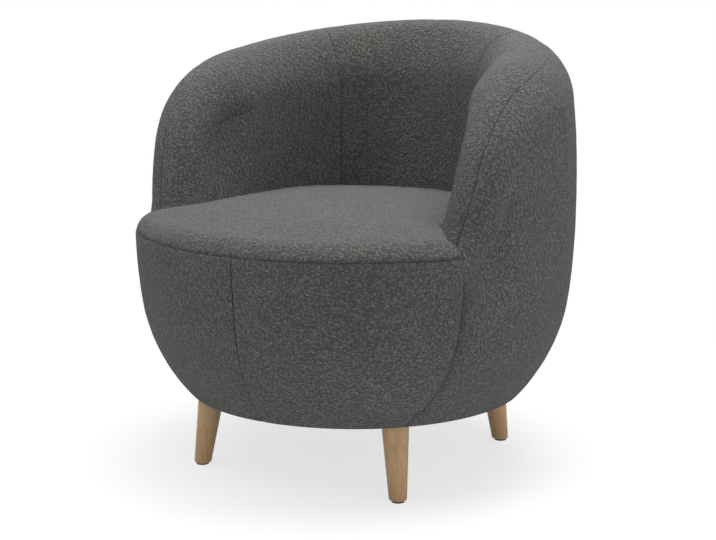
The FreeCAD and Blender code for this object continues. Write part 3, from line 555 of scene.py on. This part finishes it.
def grained_wood(name, colour, stretch, contrast, gloss):
    """Straight-grained wood with pores that run up the piece."""
    finish = Finish(name)
    base = Vector(colour)
    squeeze = finish.nodes.new("ShaderNodeMapping")
    squeeze.inputs["Scale"].default_value = stretch
    finish.links.new(finish.place, squeeze.inputs["Vector"])
    place = squeeze.outputs["Vector"]
    rings = finish.cloud(place, scale=60.0, detail=6.0, distortion=0.7)
    pores = finish.cloud(place, scale=420.0, detail=3.0)
    dark, pale = base * (1.0 - contrast), base * (1.0 + 0.45 * contrast)
    tone = finish.ramp(rings, [(0.30, dark), (0.68, pale), (0.5, base)])
    speck = finish.ramp(pores, [(0.36, (0.62, 0.56, 0.50)), (0.47, (1.0, 1.0, 1.0))])
    finish.colour(tone, speck, share=0.55)
    finish.relief(pores, strength=0.25, depth=0.0004)
    finish.roughness(rings, (0.3, gloss + 0.12), (0.7, gloss))
    return finish.material


def speckled(name, colour, roughness, grain, depth, metallic):
    """Plain technical surface with a fine grain in colour, gloss and relief."""
    finish = Finish(name)
    base = Vector(colour)
    fleck = finish.cloud(finish.place, scale=grain, detail=4.0)
    finish.feed("Base Color", finish.ramp(fleck, [(0.35, base * 0.75), (0.65, base * 1.2)]))
    finish.roughness(fleck, (0.3, roughness), (0.7, roughness * 0.85))
    finish.relief(fleck, strength=0.4, depth=depth)
    finish.shader.inputs["Metallic"].default_value = metallic
    return finish.material


# Slot, colour, roughness, grain per metre, depth of the relief, metallic
SPECKLED = (
    # The seam_thread finish is near black: it paints shade into the grooves of the seams.
    ("seam_thread", (0.022, 0.022, 0.020), 0.95, 500.0, 0.0004, 0.0),
    ("black_cambric", (0.012, 0.012, 0.012), 0.92, 900.0, 0.0004, 0.0),
    ("black_plastic", (0.02, 0.02, 0.02), 0.45, 1400.0, 0.0001, 0.0),
    ("zinc_steel", (0.56, 0.57, 0.58), 0.35, 700.0, 0.0001, 1.0),
    ("webbing", (0.30, 0.21, 0.12), 0.85, 500.0, 0.0005, 0.0),
    ("foam", (0.75, 0.70, 0.55), 0.95, 800.0, 0.0006, 0.0),
    ("felt", (0.30, 0.30, 0.29), 0.95, 600.0, 0.0006, 0.0),
)
PLYWOOD_COLOUR = (0.50, 0.33, 0.17)
MADE = {}


def finishes():
    """All finishes by the name of their slot, made once."""
    if not MADE:
        scene = bpy.context.scene
        MADE["looped_fabric"] = looped_fabric(scene.tub_chair_upholstery)
        MADE["leg_oak"] = grained_wood("leg_oak", scene.tub_chair_legs.wood_colour,
                                       stretch=(1.0, 1.0, 0.07), contrast=0.22, gloss=0.42)
        MADE["frame_plywood"] = grained_wood("frame_plywood", PLYWOOD_COLOUR,
                                             stretch=(0.3, 1.0, 1.0), contrast=0.15, gloss=0.6)
        for row in SPECKLED:
            MADE[row[0]] = speckled(*row)
    return MADE


# Settings a user may change

class TubChairUpholstery(bpy.types.PropertyGroup):
    """Fabric, seams and padding"""
    fabric_colour: bpy.props.FloatVectorProperty(
        name="Fabric colour", description="Colour of the looped cover fabric", subtype="COLOR",
        size=3, min=0.0, max=1.0, default=(0.138, 0.140, 0.123))
    loop_size: bpy.props.FloatProperty(
        name="Loop size", description="Width of one loop of the pile", unit="LENGTH",
        default=0.0044)
    seam_depth: bpy.props.FloatProperty(
        name="Seam depth", description="How far a sewn seam pulls the cover in", unit="LENGTH",
        default=0.0022)
    seam_width: bpy.props.FloatProperty(
        name="Seam width", description="Half-width of the valley along a seam", unit="LENGTH",
        default=0.0036)
    # Radius of the dark cord that paints shade into each seam's groove.
    shade_cord_radius: bpy.props.FloatProperty(
        name="Stitch line radius", description="Radius of the sunken line of stitching",
        unit="LENGTH", default=0.0011)
    unevenness: bpy.props.FloatProperty(
        name="Unevenness", description="Soft waviness of the stuffed surface", unit="LENGTH",
        default=0.0016)
    padding: bpy.props.FloatProperty(
        name="Padding", description="Thickness of cover and foam", unit="LENGTH",
        default=0.0215)


class TubChairLegs(bpy.types.PropertyGroup):
    """Shape and colour of the legs"""
    foot_radius: bpy.props.FloatProperty(
        name="Foot radius", description="Radius of a leg just above its rounded foot",
        unit="LENGTH", default=0.015)
    top_radius: bpy.props.FloatProperty(
        name="Top radius", description="Radius of a leg where it meets the base",
        unit="LENGTH", default=0.023)
    offset: bpy.props.FloatProperty(
        name="Foot offset", description="Distance of a foot from the two middle planes",
        unit="LENGTH", default=0.195)
    splay: bpy.props.FloatProperty(
        name="Splay", description="Outward lean of a leg along the diagonal", subtype="ANGLE",
        default=math.radians(8.3))
    wood_colour: bpy.props.FloatVectorProperty(
        name="Wood colour", description="Colour of the oiled oak", subtype="COLOR",
        size=3, min=0.0, max=1.0, default=(0.42, 0.265, 0.125))


class TubChairStage(bpy.types.PropertyGroup):
    """Floor and camera"""
    floor_colour: bpy.props.FloatVectorProperty(
        name="Floor colour", description="Colour of the floor", subtype="COLOR",
        size=3, min=0.0, max=1.0, default=(0.90, 0.90, 0.90))
    shadow_reach: bpy.props.FloatProperty(
        name="Shadow reach", description="Distance at which the floor has faded to white",
        unit="LENGTH", default=1.3)
    floor_glow: bpy.props.FloatProperty(
        name="Floor glow", description="How much white the camera sees over the floor's shadow",
        subtype="FACTOR", min=0.0, max=1.0, default=0.72)
    lens: bpy.props.FloatProperty(
        name="Lens", description="Focal length of the camera in millimetres", default=75.69)
    azimuth: bpy.props.FloatProperty(
        name="Azimuth", description="Camera angle to the right of the front", subtype="ANGLE",
        default=math.radians(30.3435))
    elevation: bpy.props.FloatProperty(
        name="Elevation", description="Camera angle above the horizon", subtype="ANGLE",
        default=math.radians(10.965))


# Stage

CAMERA_DISTANCE = 2.6409
CAMERA_AIM = (0.00492, 0.330667)
SENSOR_WIDTH = 36.0
LAMP_TARGET = Vector((0, 0, 0.4))
# Name, place, width, power in watts
LAMPS = (
    ("key", (-1.0, -1.3, 3.0), 2.2, 40.0),
    ("top", (0.3, 0.3, 3.0), 2.0, 104.0),
    ("fill", (2.6, -1.0, 1.4), 2.0, 14.0),
)
FLOOR_HALF = 30.0
FADE_START = 0.4
SKY_COLOUR = (0.97, 0.98, 1.0, 1.0)
SKY_LIGHT = 0.42
WHITE = (1.0, 1.0, 1.0, 1.0)


def seen_directly(nodes, links):
    """Output that is 1 for rays from the camera or a mirror, and 0 for light on its way."""
    rays = nodes.new("ShaderNodeLightPath")
    either = nodes.new("ShaderNodeMath")
    either.operation = "MAXIMUM"
    links.new(rays.outputs["Is Camera Ray"], either.inputs[0])
    links.new(rays.outputs["Is Glossy Ray"], either.inputs[1])
    return either.outputs["Value"]


def blend_shaders(nodes, links, share, first, second, target):
    """Mix of two shaders, linked to the output node."""
    mix = nodes.new("ShaderNodeMixShader")
    links.new(share, mix.inputs["Fac"])
    links.new(first, mix.inputs[1])
    links.new(second, mix.inputs[2])
    links.new(mix.outputs["Shader"], nodes[target].inputs["Surface"])


class TUBCHAIR_OT_stage(bpy.types.Operator):
    """Camera at the viewing angle, pale floor, soft lamps and a white surround"""
    bl_idname = "tub_chair.stage"
    bl_label = "Stage"

    def execute(self, context):
        settings = context.scene.tub_chair_stage
        self.make_camera(context, settings)
        floor = self.make_floor(settings)
        self.make_world(context)
        for name, place, width, power in LAMPS:
            lamp = bpy.data.lights.new(name, "AREA")
            lamp.size = width
            lamp.energy = power
            lit = bpy.data.objects.new(name, lamp)
            lit.location = place
            aim = (LAMP_TARGET - Vector(place)).to_track_quat("-Z", "Y")
            lit.rotation_euler = aim.to_euler()
            context.scene.collection.objects.link(lit)
        context.scene.view_settings.view_transform = "Standard"
        return {"FINISHED"}

    @staticmethod
    def make_camera(context, settings):
        """Camera on a sphere round the chair, shifted so that the chair is framed."""
        az, el = settings.azimuth, settings.elevation
        back = Vector((math.sin(az) * math.cos(el), -math.cos(az) * math.cos(el), math.sin(el)))
        right = Vector((math.cos(az), math.sin(az), 0.0))
        up = back.cross(right)
        camera = bpy.data.objects.new("camera", bpy.data.cameras.new("camera"))
        camera.data.sensor_width = SENSOR_WIDTH
        camera.data.lens = settings.lens
        sideways, height = CAMERA_AIM
        spot = back * CAMERA_DISTANCE + right * sideways + Vector((0, 0, height))
        camera.matrix_world = Matrix((
            (right.x, up.x, back.x, spot.x), (right.y, up.y, back.y, spot.y),
            (right.z, up.z, back.z, spot.z), (0, 0, 0, 1)))
        context.scene.collection.objects.link(camera)
        context.scene.camera = camera

    @staticmethod
    def make_floor(settings):
        """Floor that takes the chair's shadow and fades to white around it."""
        half = FLOOR_HALF
        mesh = bpy.data.meshes.new("floor")
        mesh.from_pydata([(-half, -half, 0), (half, -half, 0), (half, half, 0), (-half, half, 0)],
                         [], [(0, 1, 2, 3)])
        floor = bpy.data.objects.new("floor", mesh)
        bpy.context.scene.collection.objects.link(floor)
        finish = Finish("pale_floor")
        nodes, links = finish.nodes, finish.links
        finish.shader.inputs["Base Color"].default_value = (*settings.floor_colour, 1.0)
        finish.shader.inputs["Roughness"].default_value = 0.9
        finish.shader.inputs["Specular IOR Level"].default_value = 0.1
        white = nodes.new("ShaderNodeEmission")
        reach = nodes.new("ShaderNodeVectorMath")
        reach.operation = "LENGTH"
        links.new(finish.place, reach.inputs[0])
        share = nodes.new("ShaderNodeMapRange")
        share.interpolation_type = "SMOOTHSTEP"
        share.inputs["From Min"].default_value = settings.shadow_reach * FADE_START
        share.inputs["From Max"].default_value = settings.shadow_reach
        share.inputs["To Min"].default_value = settings.floor_glow
        links.new(reach.outputs["Value"], share.inputs["Value"])
        amount = nodes.new("ShaderNodeMath")
        amount.operation = "MULTIPLY"
        links.new(share.outputs["Result"], amount.inputs[0])
        links.new(seen_directly(nodes, links), amount.inputs[1])
        blend_shaders(nodes, links, amount.outputs["Value"], finish.shader.outputs["BSDF"],
                      white.outputs["Emission"], "Material Output")
        mesh.materials.append(finish.material)
        return floor

    @staticmethod
    def make_world(context):
        """Soft light from all sides, seen by the camera as plain white."""
        world = bpy.data.worlds.new("surround")
        world.use_nodes = True
        context.scene.world = world
        nodes, links = world.node_tree.nodes, world.node_tree.links
        light = nodes["Background"]
        light.inputs["Color"].default_value = SKY_COLOUR
        light.inputs["Strength"].default_value = SKY_LIGHT
        seen = nodes.new("ShaderNodeBackground")
        seen.inputs["Color"].default_value = WHITE
        seen.inputs["Strength"].default_value = 1.0
        blend_shaders(nodes, links, seen_directly(nodes, links), light.outputs["Background"],
                      seen.outputs["Background"], "World Output")


# Arms and back

NOSE_END = 64.0
NOSE_RUNS = 9
CALM_STEPS = 3.0
CALM_RUNS = 1.5
BACK_SEAM_SHARE = 0.8
BACK_LINE_SHARE = 0.9
SEAM_START = 0.02


class TUBCHAIR_OT_arms_and_back(bpy.types.Operator):
    """Padded wrap-around arms and back, with the rim seam, inner seams and back seam"""
    bl_idname = "tub_chair.arms_and_back"
    bl_label = "Arms and Back"

    def execute(self, context):
        settings = context.scene.tub_chair_upholstery
        angles = [FOOT_ANGLE + (NOSE_END - FOOT_ANGLE) * k / NOSE_RUNS for k in range(NOSE_RUNS)]
        angles += [NOSE_END + k for k in range(int(REAR_ANGLE - NOSE_END) + 1)]
        right = [Section(angle) for angle in angles]
        sections = right + right[-2::-1]
        sides = [1.0] * len(right) + [-1.0] * (len(right) - 1)
        grid = [mirrored(s.run(0.0, *COVER_STEPS), side) for s, side in zip(sections, sides)]
        back = [mirrored(s.run(settings.padding, *BACKING_STEPS), side)
                for s, side in zip(sections, sides)]
        normals = normals_of(grid)
        rear, half_way = len(grid) // 2, WALL_STEPS // 2
        if normals[rear][half_way].y * grid[rear][half_way].y < 0:
            normals = [[-n for n in line] for line in normals]
        loops = []
        for i, (section, line) in enumerate(zip(sections, grid)):
            shaped = []
            for j, point in enumerate(line):
                depth = self.seam_depth(settings, section, point, j)
                edge = min(j / CALM_STEPS, (len(line) - 1 - j) / CALM_STEPS, i / CALM_RUNS,
                           (len(grid) - 1 - i) / CALM_RUNS, 1.0)
                swell = softness(point, settings.unevenness) * edge
                shaped.append(point + normals[i][j] * (swell - depth))
            loops.append(shaped + back[i][::-1])
        points, faces = loops_to_faces(loops)
        piece = mesh_object("arms_and_back", points, faces, finishes()["looped_fabric"])
        self.sew(settings, right)
        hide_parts("inner_cover_left", "inner_cover_back", "inner_cover_right",
                    "outer_cover_left", "outer_cover_right", "wrap_foam", "inner_lining",
                    "outer_lining")
        return {"FINISHED"}

    @staticmethod
    def sew(settings, right):
        """Dark cords of painted seam shade along the rim, beside the back panel and down the
        middle of the back.
        """
        sunk = sunk_seam_shade_cord(settings)
        rim = [s.on_roll(s.seam, sunk) for s in right]
        beside = Section(INNER_SEAM)
        start = beside.on_roll(beside.seam, 0.0)
        inner_line = [p for p in beside.run(sunk, *COVER_STEPS)[WALL_STEPS:]
                      if p.z <= start.z + SEAM_START and p.xy.length <= start.xy.length]
        middle = Section(REAR_ANGLE)
        top = middle.on_roll(middle.seam, 0.0)
        back_line = middle.run(sunk * BACK_LINE_SHARE, *COVER_STEPS)[:WALL_STEPS + ROLL_STEPS]
        back_line = [p for p in back_line if p.y >= top.y]
        seam_shade_cord("back_seam", back_line, settings.shade_cord_radius)
        for side, word in ((1.0, "right"), (-1.0, "left")):
            for label, line in (("rim_seam_", rim), ("inner_seam_", inner_line)):
                seam_shade_cord(label + word, mirrored(line, side), settings.shade_cord_radius)

    @staticmethod
    def seam_depth(settings, section, point, step):
        """How far the seams near this point pull it in."""
        deep, wide = settings.seam_depth, settings.seam_width
        seam = section.on_roll(section.seam, 0.0)
        flat = Vector((abs(point.x), point.y, point.z))
        depth = groove((flat - seam).length, deep, wide)
        if step > WALL_STEPS + ROLL_STEPS:
            aside = math.radians(section.angle - INNER_SEAM) * point.xy.length
        else:
            aside = math.radians(REAR_ANGLE - section.angle) * point.xy.length
            deep = deep * BACK_SEAM_SHARE
        return max(depth, groove(aside, deep, wide))


# Drum front

FRONT_ROWS = 92
FRONT_STEPS = 56
FRONT_CORNER_STEPS = 5
FRONT_BACKING_EVERY = 4
FRONT_GAP = 0.0006
SEAT_SEAM_RISE = 0.0015
SEAT_SEAM_SHARE = 1.1
SPLIT_SEAM_SHARE = 1.3
SPLIT_SEAM_WIDTH = 1.4
SEAT_SEAM_HALF = 60


def front_profile(inset):
    """Distances and heights up the drum's front, to the seat's seam."""
    heights = [UNDERSIDE + (EDGE_HEIGHT - UNDERSIDE) * k / FRONT_STEPS
               for k in range(FRONT_STEPS)]
    turns = [EDGE_SEAM_TURN * k / FRONT_CORNER_STEPS for k in range(FRONT_CORNER_STEPS + 1)]
    return [(body_radius_at(z, inset), z) for z in heights] + [edge_point(t, inset) for t in turns]


class TUBCHAIR_OT_front(bpy.types.Operator):
    """Padded drum front under the seat, sewn down its middle"""
    bl_idname = "tub_chair.front"
    bl_label = "Front"

    def execute(self, context):
        settings = context.scene.tub_chair_upholstery
        deep, wide = settings.seam_depth, settings.seam_width
        outer = front_profile(0.0)
        inner = front_profile(settings.padding)[::FRONT_BACKING_EVERY]
        loops = []
        for row in range(FRONT_ROWS + 1):
            share = 2.0 * row / FRONT_ROWS - 1.0
            line = []
            for j, (radius, z) in enumerate(outer):
                spot = on_circle(share * plan_angle(-SPLIT - FRONT_GAP, radius), radius, z)
                out = spot.xy.to_3d().normalized()
                depth = max(groove(spot.x, deep, wide),
                            groove(SEAT_SEAM + SEAT_SEAM_RISE - z, deep * SEAT_SEAM_SHARE, wide),
                            groove(SPLIT + spot.y, deep * SPLIT_SEAM_SHARE,
                                   wide * SPLIT_SEAM_WIDTH))
                swell = softness(spot, settings.unevenness) * min(j / CALM_STEPS, 1.0)
                line.append(spot + out * (swell - depth))
            back = [on_circle(share * plan_angle(-SPLIT - FRONT_GAP, radius), radius, z)
                    for radius, z in inner]
            loops.append(line + back[::-1])
        points, faces = loops_to_faces(loops)
        piece = mesh_object("drum_front", points, faces, finishes()["looped_fabric"])
        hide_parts("front_cover_left", "front_cover_right", "front_foam", "front_lining")
        # Dark cords down the middle and along the seat's seam: painted shade in the seam grooves.
        sunk = sunk_seam_shade_cord(settings)
        seam_shade_cord("front_seam", [Vector((0, -radius, z)) for radius, z in front_profile(sunk)],
                  settings.shade_cord_radius)
        radius, z = edge_point(EDGE_SEAM_TURN, sunk)
        reach = plan_angle(-SPLIT, radius)
        seam_shade_cord("seat_seam", [on_circle(reach * k / SEAT_SEAM_HALF, radius, z)
                                for k in range(-SEAT_SEAM_HALF, SEAT_SEAM_HALF + 1)],
                  settings.shade_cord_radius)
        return {"FINISHED"}


# Seat

SEAT_CLEARANCE = 0.0012
SEAT_SPLIT = SPLIT + 0.0008
SEAT_HUB = Vector((0, -1.28 * SPLIT, 0))
HUB_STEPS = 26
FRONT_RUNS = 26
EDGE_STEPS = 9
TUCK_IN, TUCK_DOWN, BASE_IN = 0.005, 0.0035, 0.016
WELL_ROLL = 0.013
CORNER_OUT = 0.010
CORNER_SHARES = (0.25, 0.5, 0.75)
NARROW_FROM, NARROW_OVER = 0.012, 0.03
WALL_LINE_REACH = 0.26
WALL_LINE_STEPS, WALL_LINE_STEP = 60, 0.6
WALL_LINE_RUN = (2, 2, 12, 10)
FIRST_STEP, FINE_STEP, WIDE_STEP, FINE_UNTIL = 0.5, 1.5, 2.5, 80.0
SEAT_UNEVENNESS = 1.6
CALM_RISE = 0.02


def run_over(outer):
    """Points over the seat from its hub to a run of points at its edge, and down that run."""
    edge = Vector((outer[0].x, outer[0].y, 0))
    inner = [SEAT_HUB.lerp(edge, k / HUB_STEPS) for k in range(HUB_STEPS)]
    return [Vector((p.x, p.y, crown_height(p.length))) for p in inner] + outer


def down_well(at, top):
    """Points over the seat's rolled side and down to its base; at places a step and a height."""
    spots = []
    for k in range(EDGE_STEPS + 1):
        turn = QUARTER * (1.0 - k / EDGE_STEPS)
        spots.append(at(WELL_ROLL * (math.cos(turn) - 1.0),
                        top + WELL_ROLL * (math.sin(turn) - 1.0)))
    return spots + [at(0.0, (top + SEAT_BASE) / 2), at(0.0, SEAT_BASE)]


def narrowed(height):
    """Share of the way from the wall's line to the well's outline, from the top down."""
    return eased((SEAT_SEAM + NARROW_FROM - height) / NARROW_OVER)


def wall_line(level, corner):
    """Plan angles and distances at which the inner wall passes the seat's top."""
    line = [(math.degrees(math.atan2(corner.x, -corner.y)), corner.xy.length)]
    for k in range(WALL_LINE_STEPS):
        section = Section(FOOT_ANGLE + WALL_LINE_STEP * (k + 1))
        run = section.run(0.0, *WALL_LINE_RUN)[WALL_LINE_RUN[0] + WALL_LINE_RUN[1]:]
        for above, below in zip(run, run[1:]):
            if above.z >= level > below.z:
                spot = above.lerp(below, (above.z - level) / (above.z - below.z))
                line.append((math.degrees(math.atan2(spot.x, -spot.y)), spot.xy.length))
                break
    return sorted(line)


def wall_reach(line, angle):
    """Distance from the axis to the wall at the seat's top."""
    if angle >= line[-1][0]:
        return well_radius(angle, -SEAT_CLEARANCE)
    for (a0, r0), (a1, r1) in zip(line, line[1:]):
        if angle <= a1:
            return r0 + (r1 - r0) * max(angle - a0, 0.0) / (a1 - a0) - SEAT_CLEARANCE
    return line[-1][1] - SEAT_CLEARANCE


def well_run(line, angle):
    """Run over the seat and down its side at a plan angle behind the front corner."""
    reach = wall_reach(line, angle)
    low = well_radius(angle, -SEAT_CLEARANCE) - reach

    def at_ray(step, height):
        return on_circle(angle, reach + step + low * narrowed(height), height)

    return run_over(down_well(at_ray, crown_height(reach - WELL_ROLL)))


class TUBCHAIR_OT_seat(bpy.types.Operator):
    """Crowned seat cushion that fills the well and rolls over the drum's front edge"""
    bl_idname = "tub_chair.seat"
    bl_label = "Seat"

    def execute(self, context):
        settings = context.scene.tub_chair_upholstery
        runs = self.right_hand_runs()
        runs += [mirrored(run) for run in runs[-2:0:-1]]
        finished = []
        for run in runs:
            shaped = []
            for point in run:
                calm = eased((point.z - SEAT_SEAM) / CALM_RISE)
                swell = softness(point, settings.unevenness * SEAT_UNEVENNESS) * calm
                shaped.append(point + Vector((0, 0, swell)))
            finished.append(shaped)
        count, rows = len(finished[0]), len(finished)
        points = [p for run in finished for p in run]
        faces = []
        for row in range(rows):
            here, there = row * count, ((row + 1) % rows) * count
            for k in range(count - 1):
                faces.append((here + k, here + k + 1, there + k + 1, there + k))
        faces.append(tuple(row * count + count - 1 for row in range(rows)))
        piece = mesh_object("seat_cushion", points, faces, finishes()["looped_fabric"])
        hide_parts("seat_cover", "seat_foam", "seat_felt")
        return {"FINISHED"}

    @staticmethod
    def right_hand_runs():
        """Runs from the middle of the front edge round the right-hand side to the back."""
        turns = [EDGE_TOP_TURN + (EDGE_SEAM_TURN - EDGE_TOP_TURN) * k / EDGE_STEPS
                 for k in range(EDGE_STEPS + 1)]
        front = [edge_point(turn) for turn in turns]
        lip = front[-1][0]
        front += [(lip - TUCK_IN, SEAT_SEAM - TUCK_DOWN), (lip - BASE_IN, SEAT_BASE)]
        last_front = plan_angle(-SEAT_SPLIT, front[0][0])
        runs = [run_over([on_circle(last_front * k / FRONT_RUNS, radius, z)
                          for radius, z in front]) for k in range(FRONT_RUNS + 1)]
        side = [Vector((math.sqrt(radius ** 2 - SEAT_SPLIT ** 2), -SEAT_SPLIT, z))
                for radius, z in front]
        corner_x = well_half_at(-SEAT_SPLIT, -SEAT_CLEARANCE)

        def at_corner(step, height):
            inwards = (corner_x - side[0].x - CORNER_OUT) * narrowed(height)
            return Vector((side[0].x + CORNER_OUT + step + inwards, -SEAT_SPLIT, height))

        corner = down_well(at_corner, crown_height(math.hypot(side[0].x, SEAT_SPLIT)))
        for share in CORNER_SHARES:
            runs.append(run_over([s.lerp(c, share) for s, c in zip(side, corner)]))
        runs.append(run_over(corner))
        line = wall_line(crown_height(WALL_LINE_REACH),
                         Vector((side[0].x + CORNER_OUT, -SEAT_SPLIT, 0.0)))
        angle = line[0][0] + FIRST_STEP
        while angle < REAR_ANGLE:
            runs.append(well_run(line, angle))
            angle += FINE_STEP if angle < FINE_UNTIL else WIDE_STEP
        runs.append(well_run(line, REAR_ANGLE))
        return runs


# Legs

LEGS = (("front_left", -1, -1), ("front_right", 1, -1), ("rear_left", -1, 1),
        ("rear_right", 1, 1))
FOOT_ROUNDING = 0.003
FOOT_STEPS = 5
LEG_STEPS = 24
LEG_SIDES = 56


class TUBCHAIR_OT_legs(bpy.types.Operator):
    """Four splayed, tapered oak legs with rounded feet"""
    bl_idname = "tub_chair.legs"
    bl_label = "Legs"

    def execute(self, context):
        settings = context.scene.tub_chair_legs
        foot, widening = settings.foot_radius, settings.top_radius - settings.foot_radius
        for name, sx, sy in LEGS:
            node = "leg_" + name
            low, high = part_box(node)
            bottom, top = low[2], high[2]
            levels = [(bottom, foot - FOOT_ROUNDING)]
            for k in range(1, FOOT_STEPS + 1):
                turn = QUARTER * k / FOOT_STEPS
                levels.append((bottom + FOOT_ROUNDING * (1 - math.cos(turn)),
                               foot - FOOT_ROUNDING * (1 - math.sin(turn))))
            levels += [(bottom + FOOT_ROUNDING + (top - bottom - FOOT_ROUNDING) * k / LEG_STEPS,
                        foot + widening * k / LEG_STEPS) for k in range(1, LEG_STEPS + 1)]
            loops = []
            for height, radius in levels:
                shift = settings.offset - height * math.tan(settings.splay) / math.sqrt(2.0)
                centre = Vector((sx * shift, sy * shift, height))
                loops.append([centre + on_circle(360.0 * k / LEG_SIDES, radius)
                              for k in range(LEG_SIDES)])
            points, faces = loops_to_faces(loops)
            piece = mesh_object("oak_" + node, points, faces, finishes()["leg_oak"])
            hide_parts(node)
        return {"FINISHED"}


class TUBCHAIR_OT_frame_finishes(bpy.types.Operator):
    """Finishes of the plywood frame, webbing, dust cover, glides and bolts"""
    bl_idname = "tub_chair.frame_finishes"
    bl_label = "Frame Finishes"

    def execute(self, context):
        wear = {entry["node"]: entry["material_slot"] for entry in frame["record"]["subparts"]}
        for name, node in frame["nodes"].items():
            if node.hide_render:
                continue
            node.data.materials.clear()
            node.data.materials.append(finishes()[wear[name]])
        return {"FINISHED"}


STEPS = (TUBCHAIR_OT_stage, TUBCHAIR_OT_arms_and_back, TUBCHAIR_OT_front, TUBCHAIR_OT_seat,
         TUBCHAIR_OT_legs, TUBCHAIR_OT_frame_finishes)


class TUBCHAIR_PT_sidebar(bpy.types.Panel):
    """Settings and steps of the chair"""
    bl_label = "Tub Chair"
    bl_idname = "TUBCHAIR_PT_sidebar"
    bl_space_type = "VIEW_3D"
    bl_region_type = "UI"
    bl_category = "Tub Chair"

    def draw(self, context):
        for group in (context.scene.tub_chair_upholstery, context.scene.tub_chair_legs,
                      context.scene.tub_chair_stage):
            box = self.layout.box()
            for name in group.__annotations__:
                box.prop(group, name)
        for step in STEPS:
            self.layout.operator(step.bl_idname)


GROUPS = {"tub_chair_upholstery": TubChairUpholstery, "tub_chair_legs": TubChairLegs,
          "tub_chair_stage": TubChairStage}
CLASSES = tuple(GROUPS.values()) + STEPS + (TUBCHAIR_PT_sidebar,)


def register():
    """Make the settings, operators and panel known."""
    for cls in CLASSES:
        bpy.utils.register_class(cls)
    for name, group in GROUPS.items():
        setattr(bpy.types.Scene, name, bpy.props.PointerProperty(type=group))


def unregister():
    """Take them away again."""
    for name in GROUPS:
        delattr(bpy.types.Scene, name)
    for cls in reversed(CLASSES):
        bpy.utils.unregister_class(cls)


def main():
    """Build the chair's pieces in order."""
    register()
    bpy.ops.tub_chair.stage()
    bpy.ops.tub_chair.arms_and_back()
    bpy.ops.tub_chair.front()
    bpy.ops.tub_chair.seat()
    bpy.ops.tub_chair.legs()
    bpy.ops.tub_chair.frame_finishes()


if __name__ == "__main__":
    main()
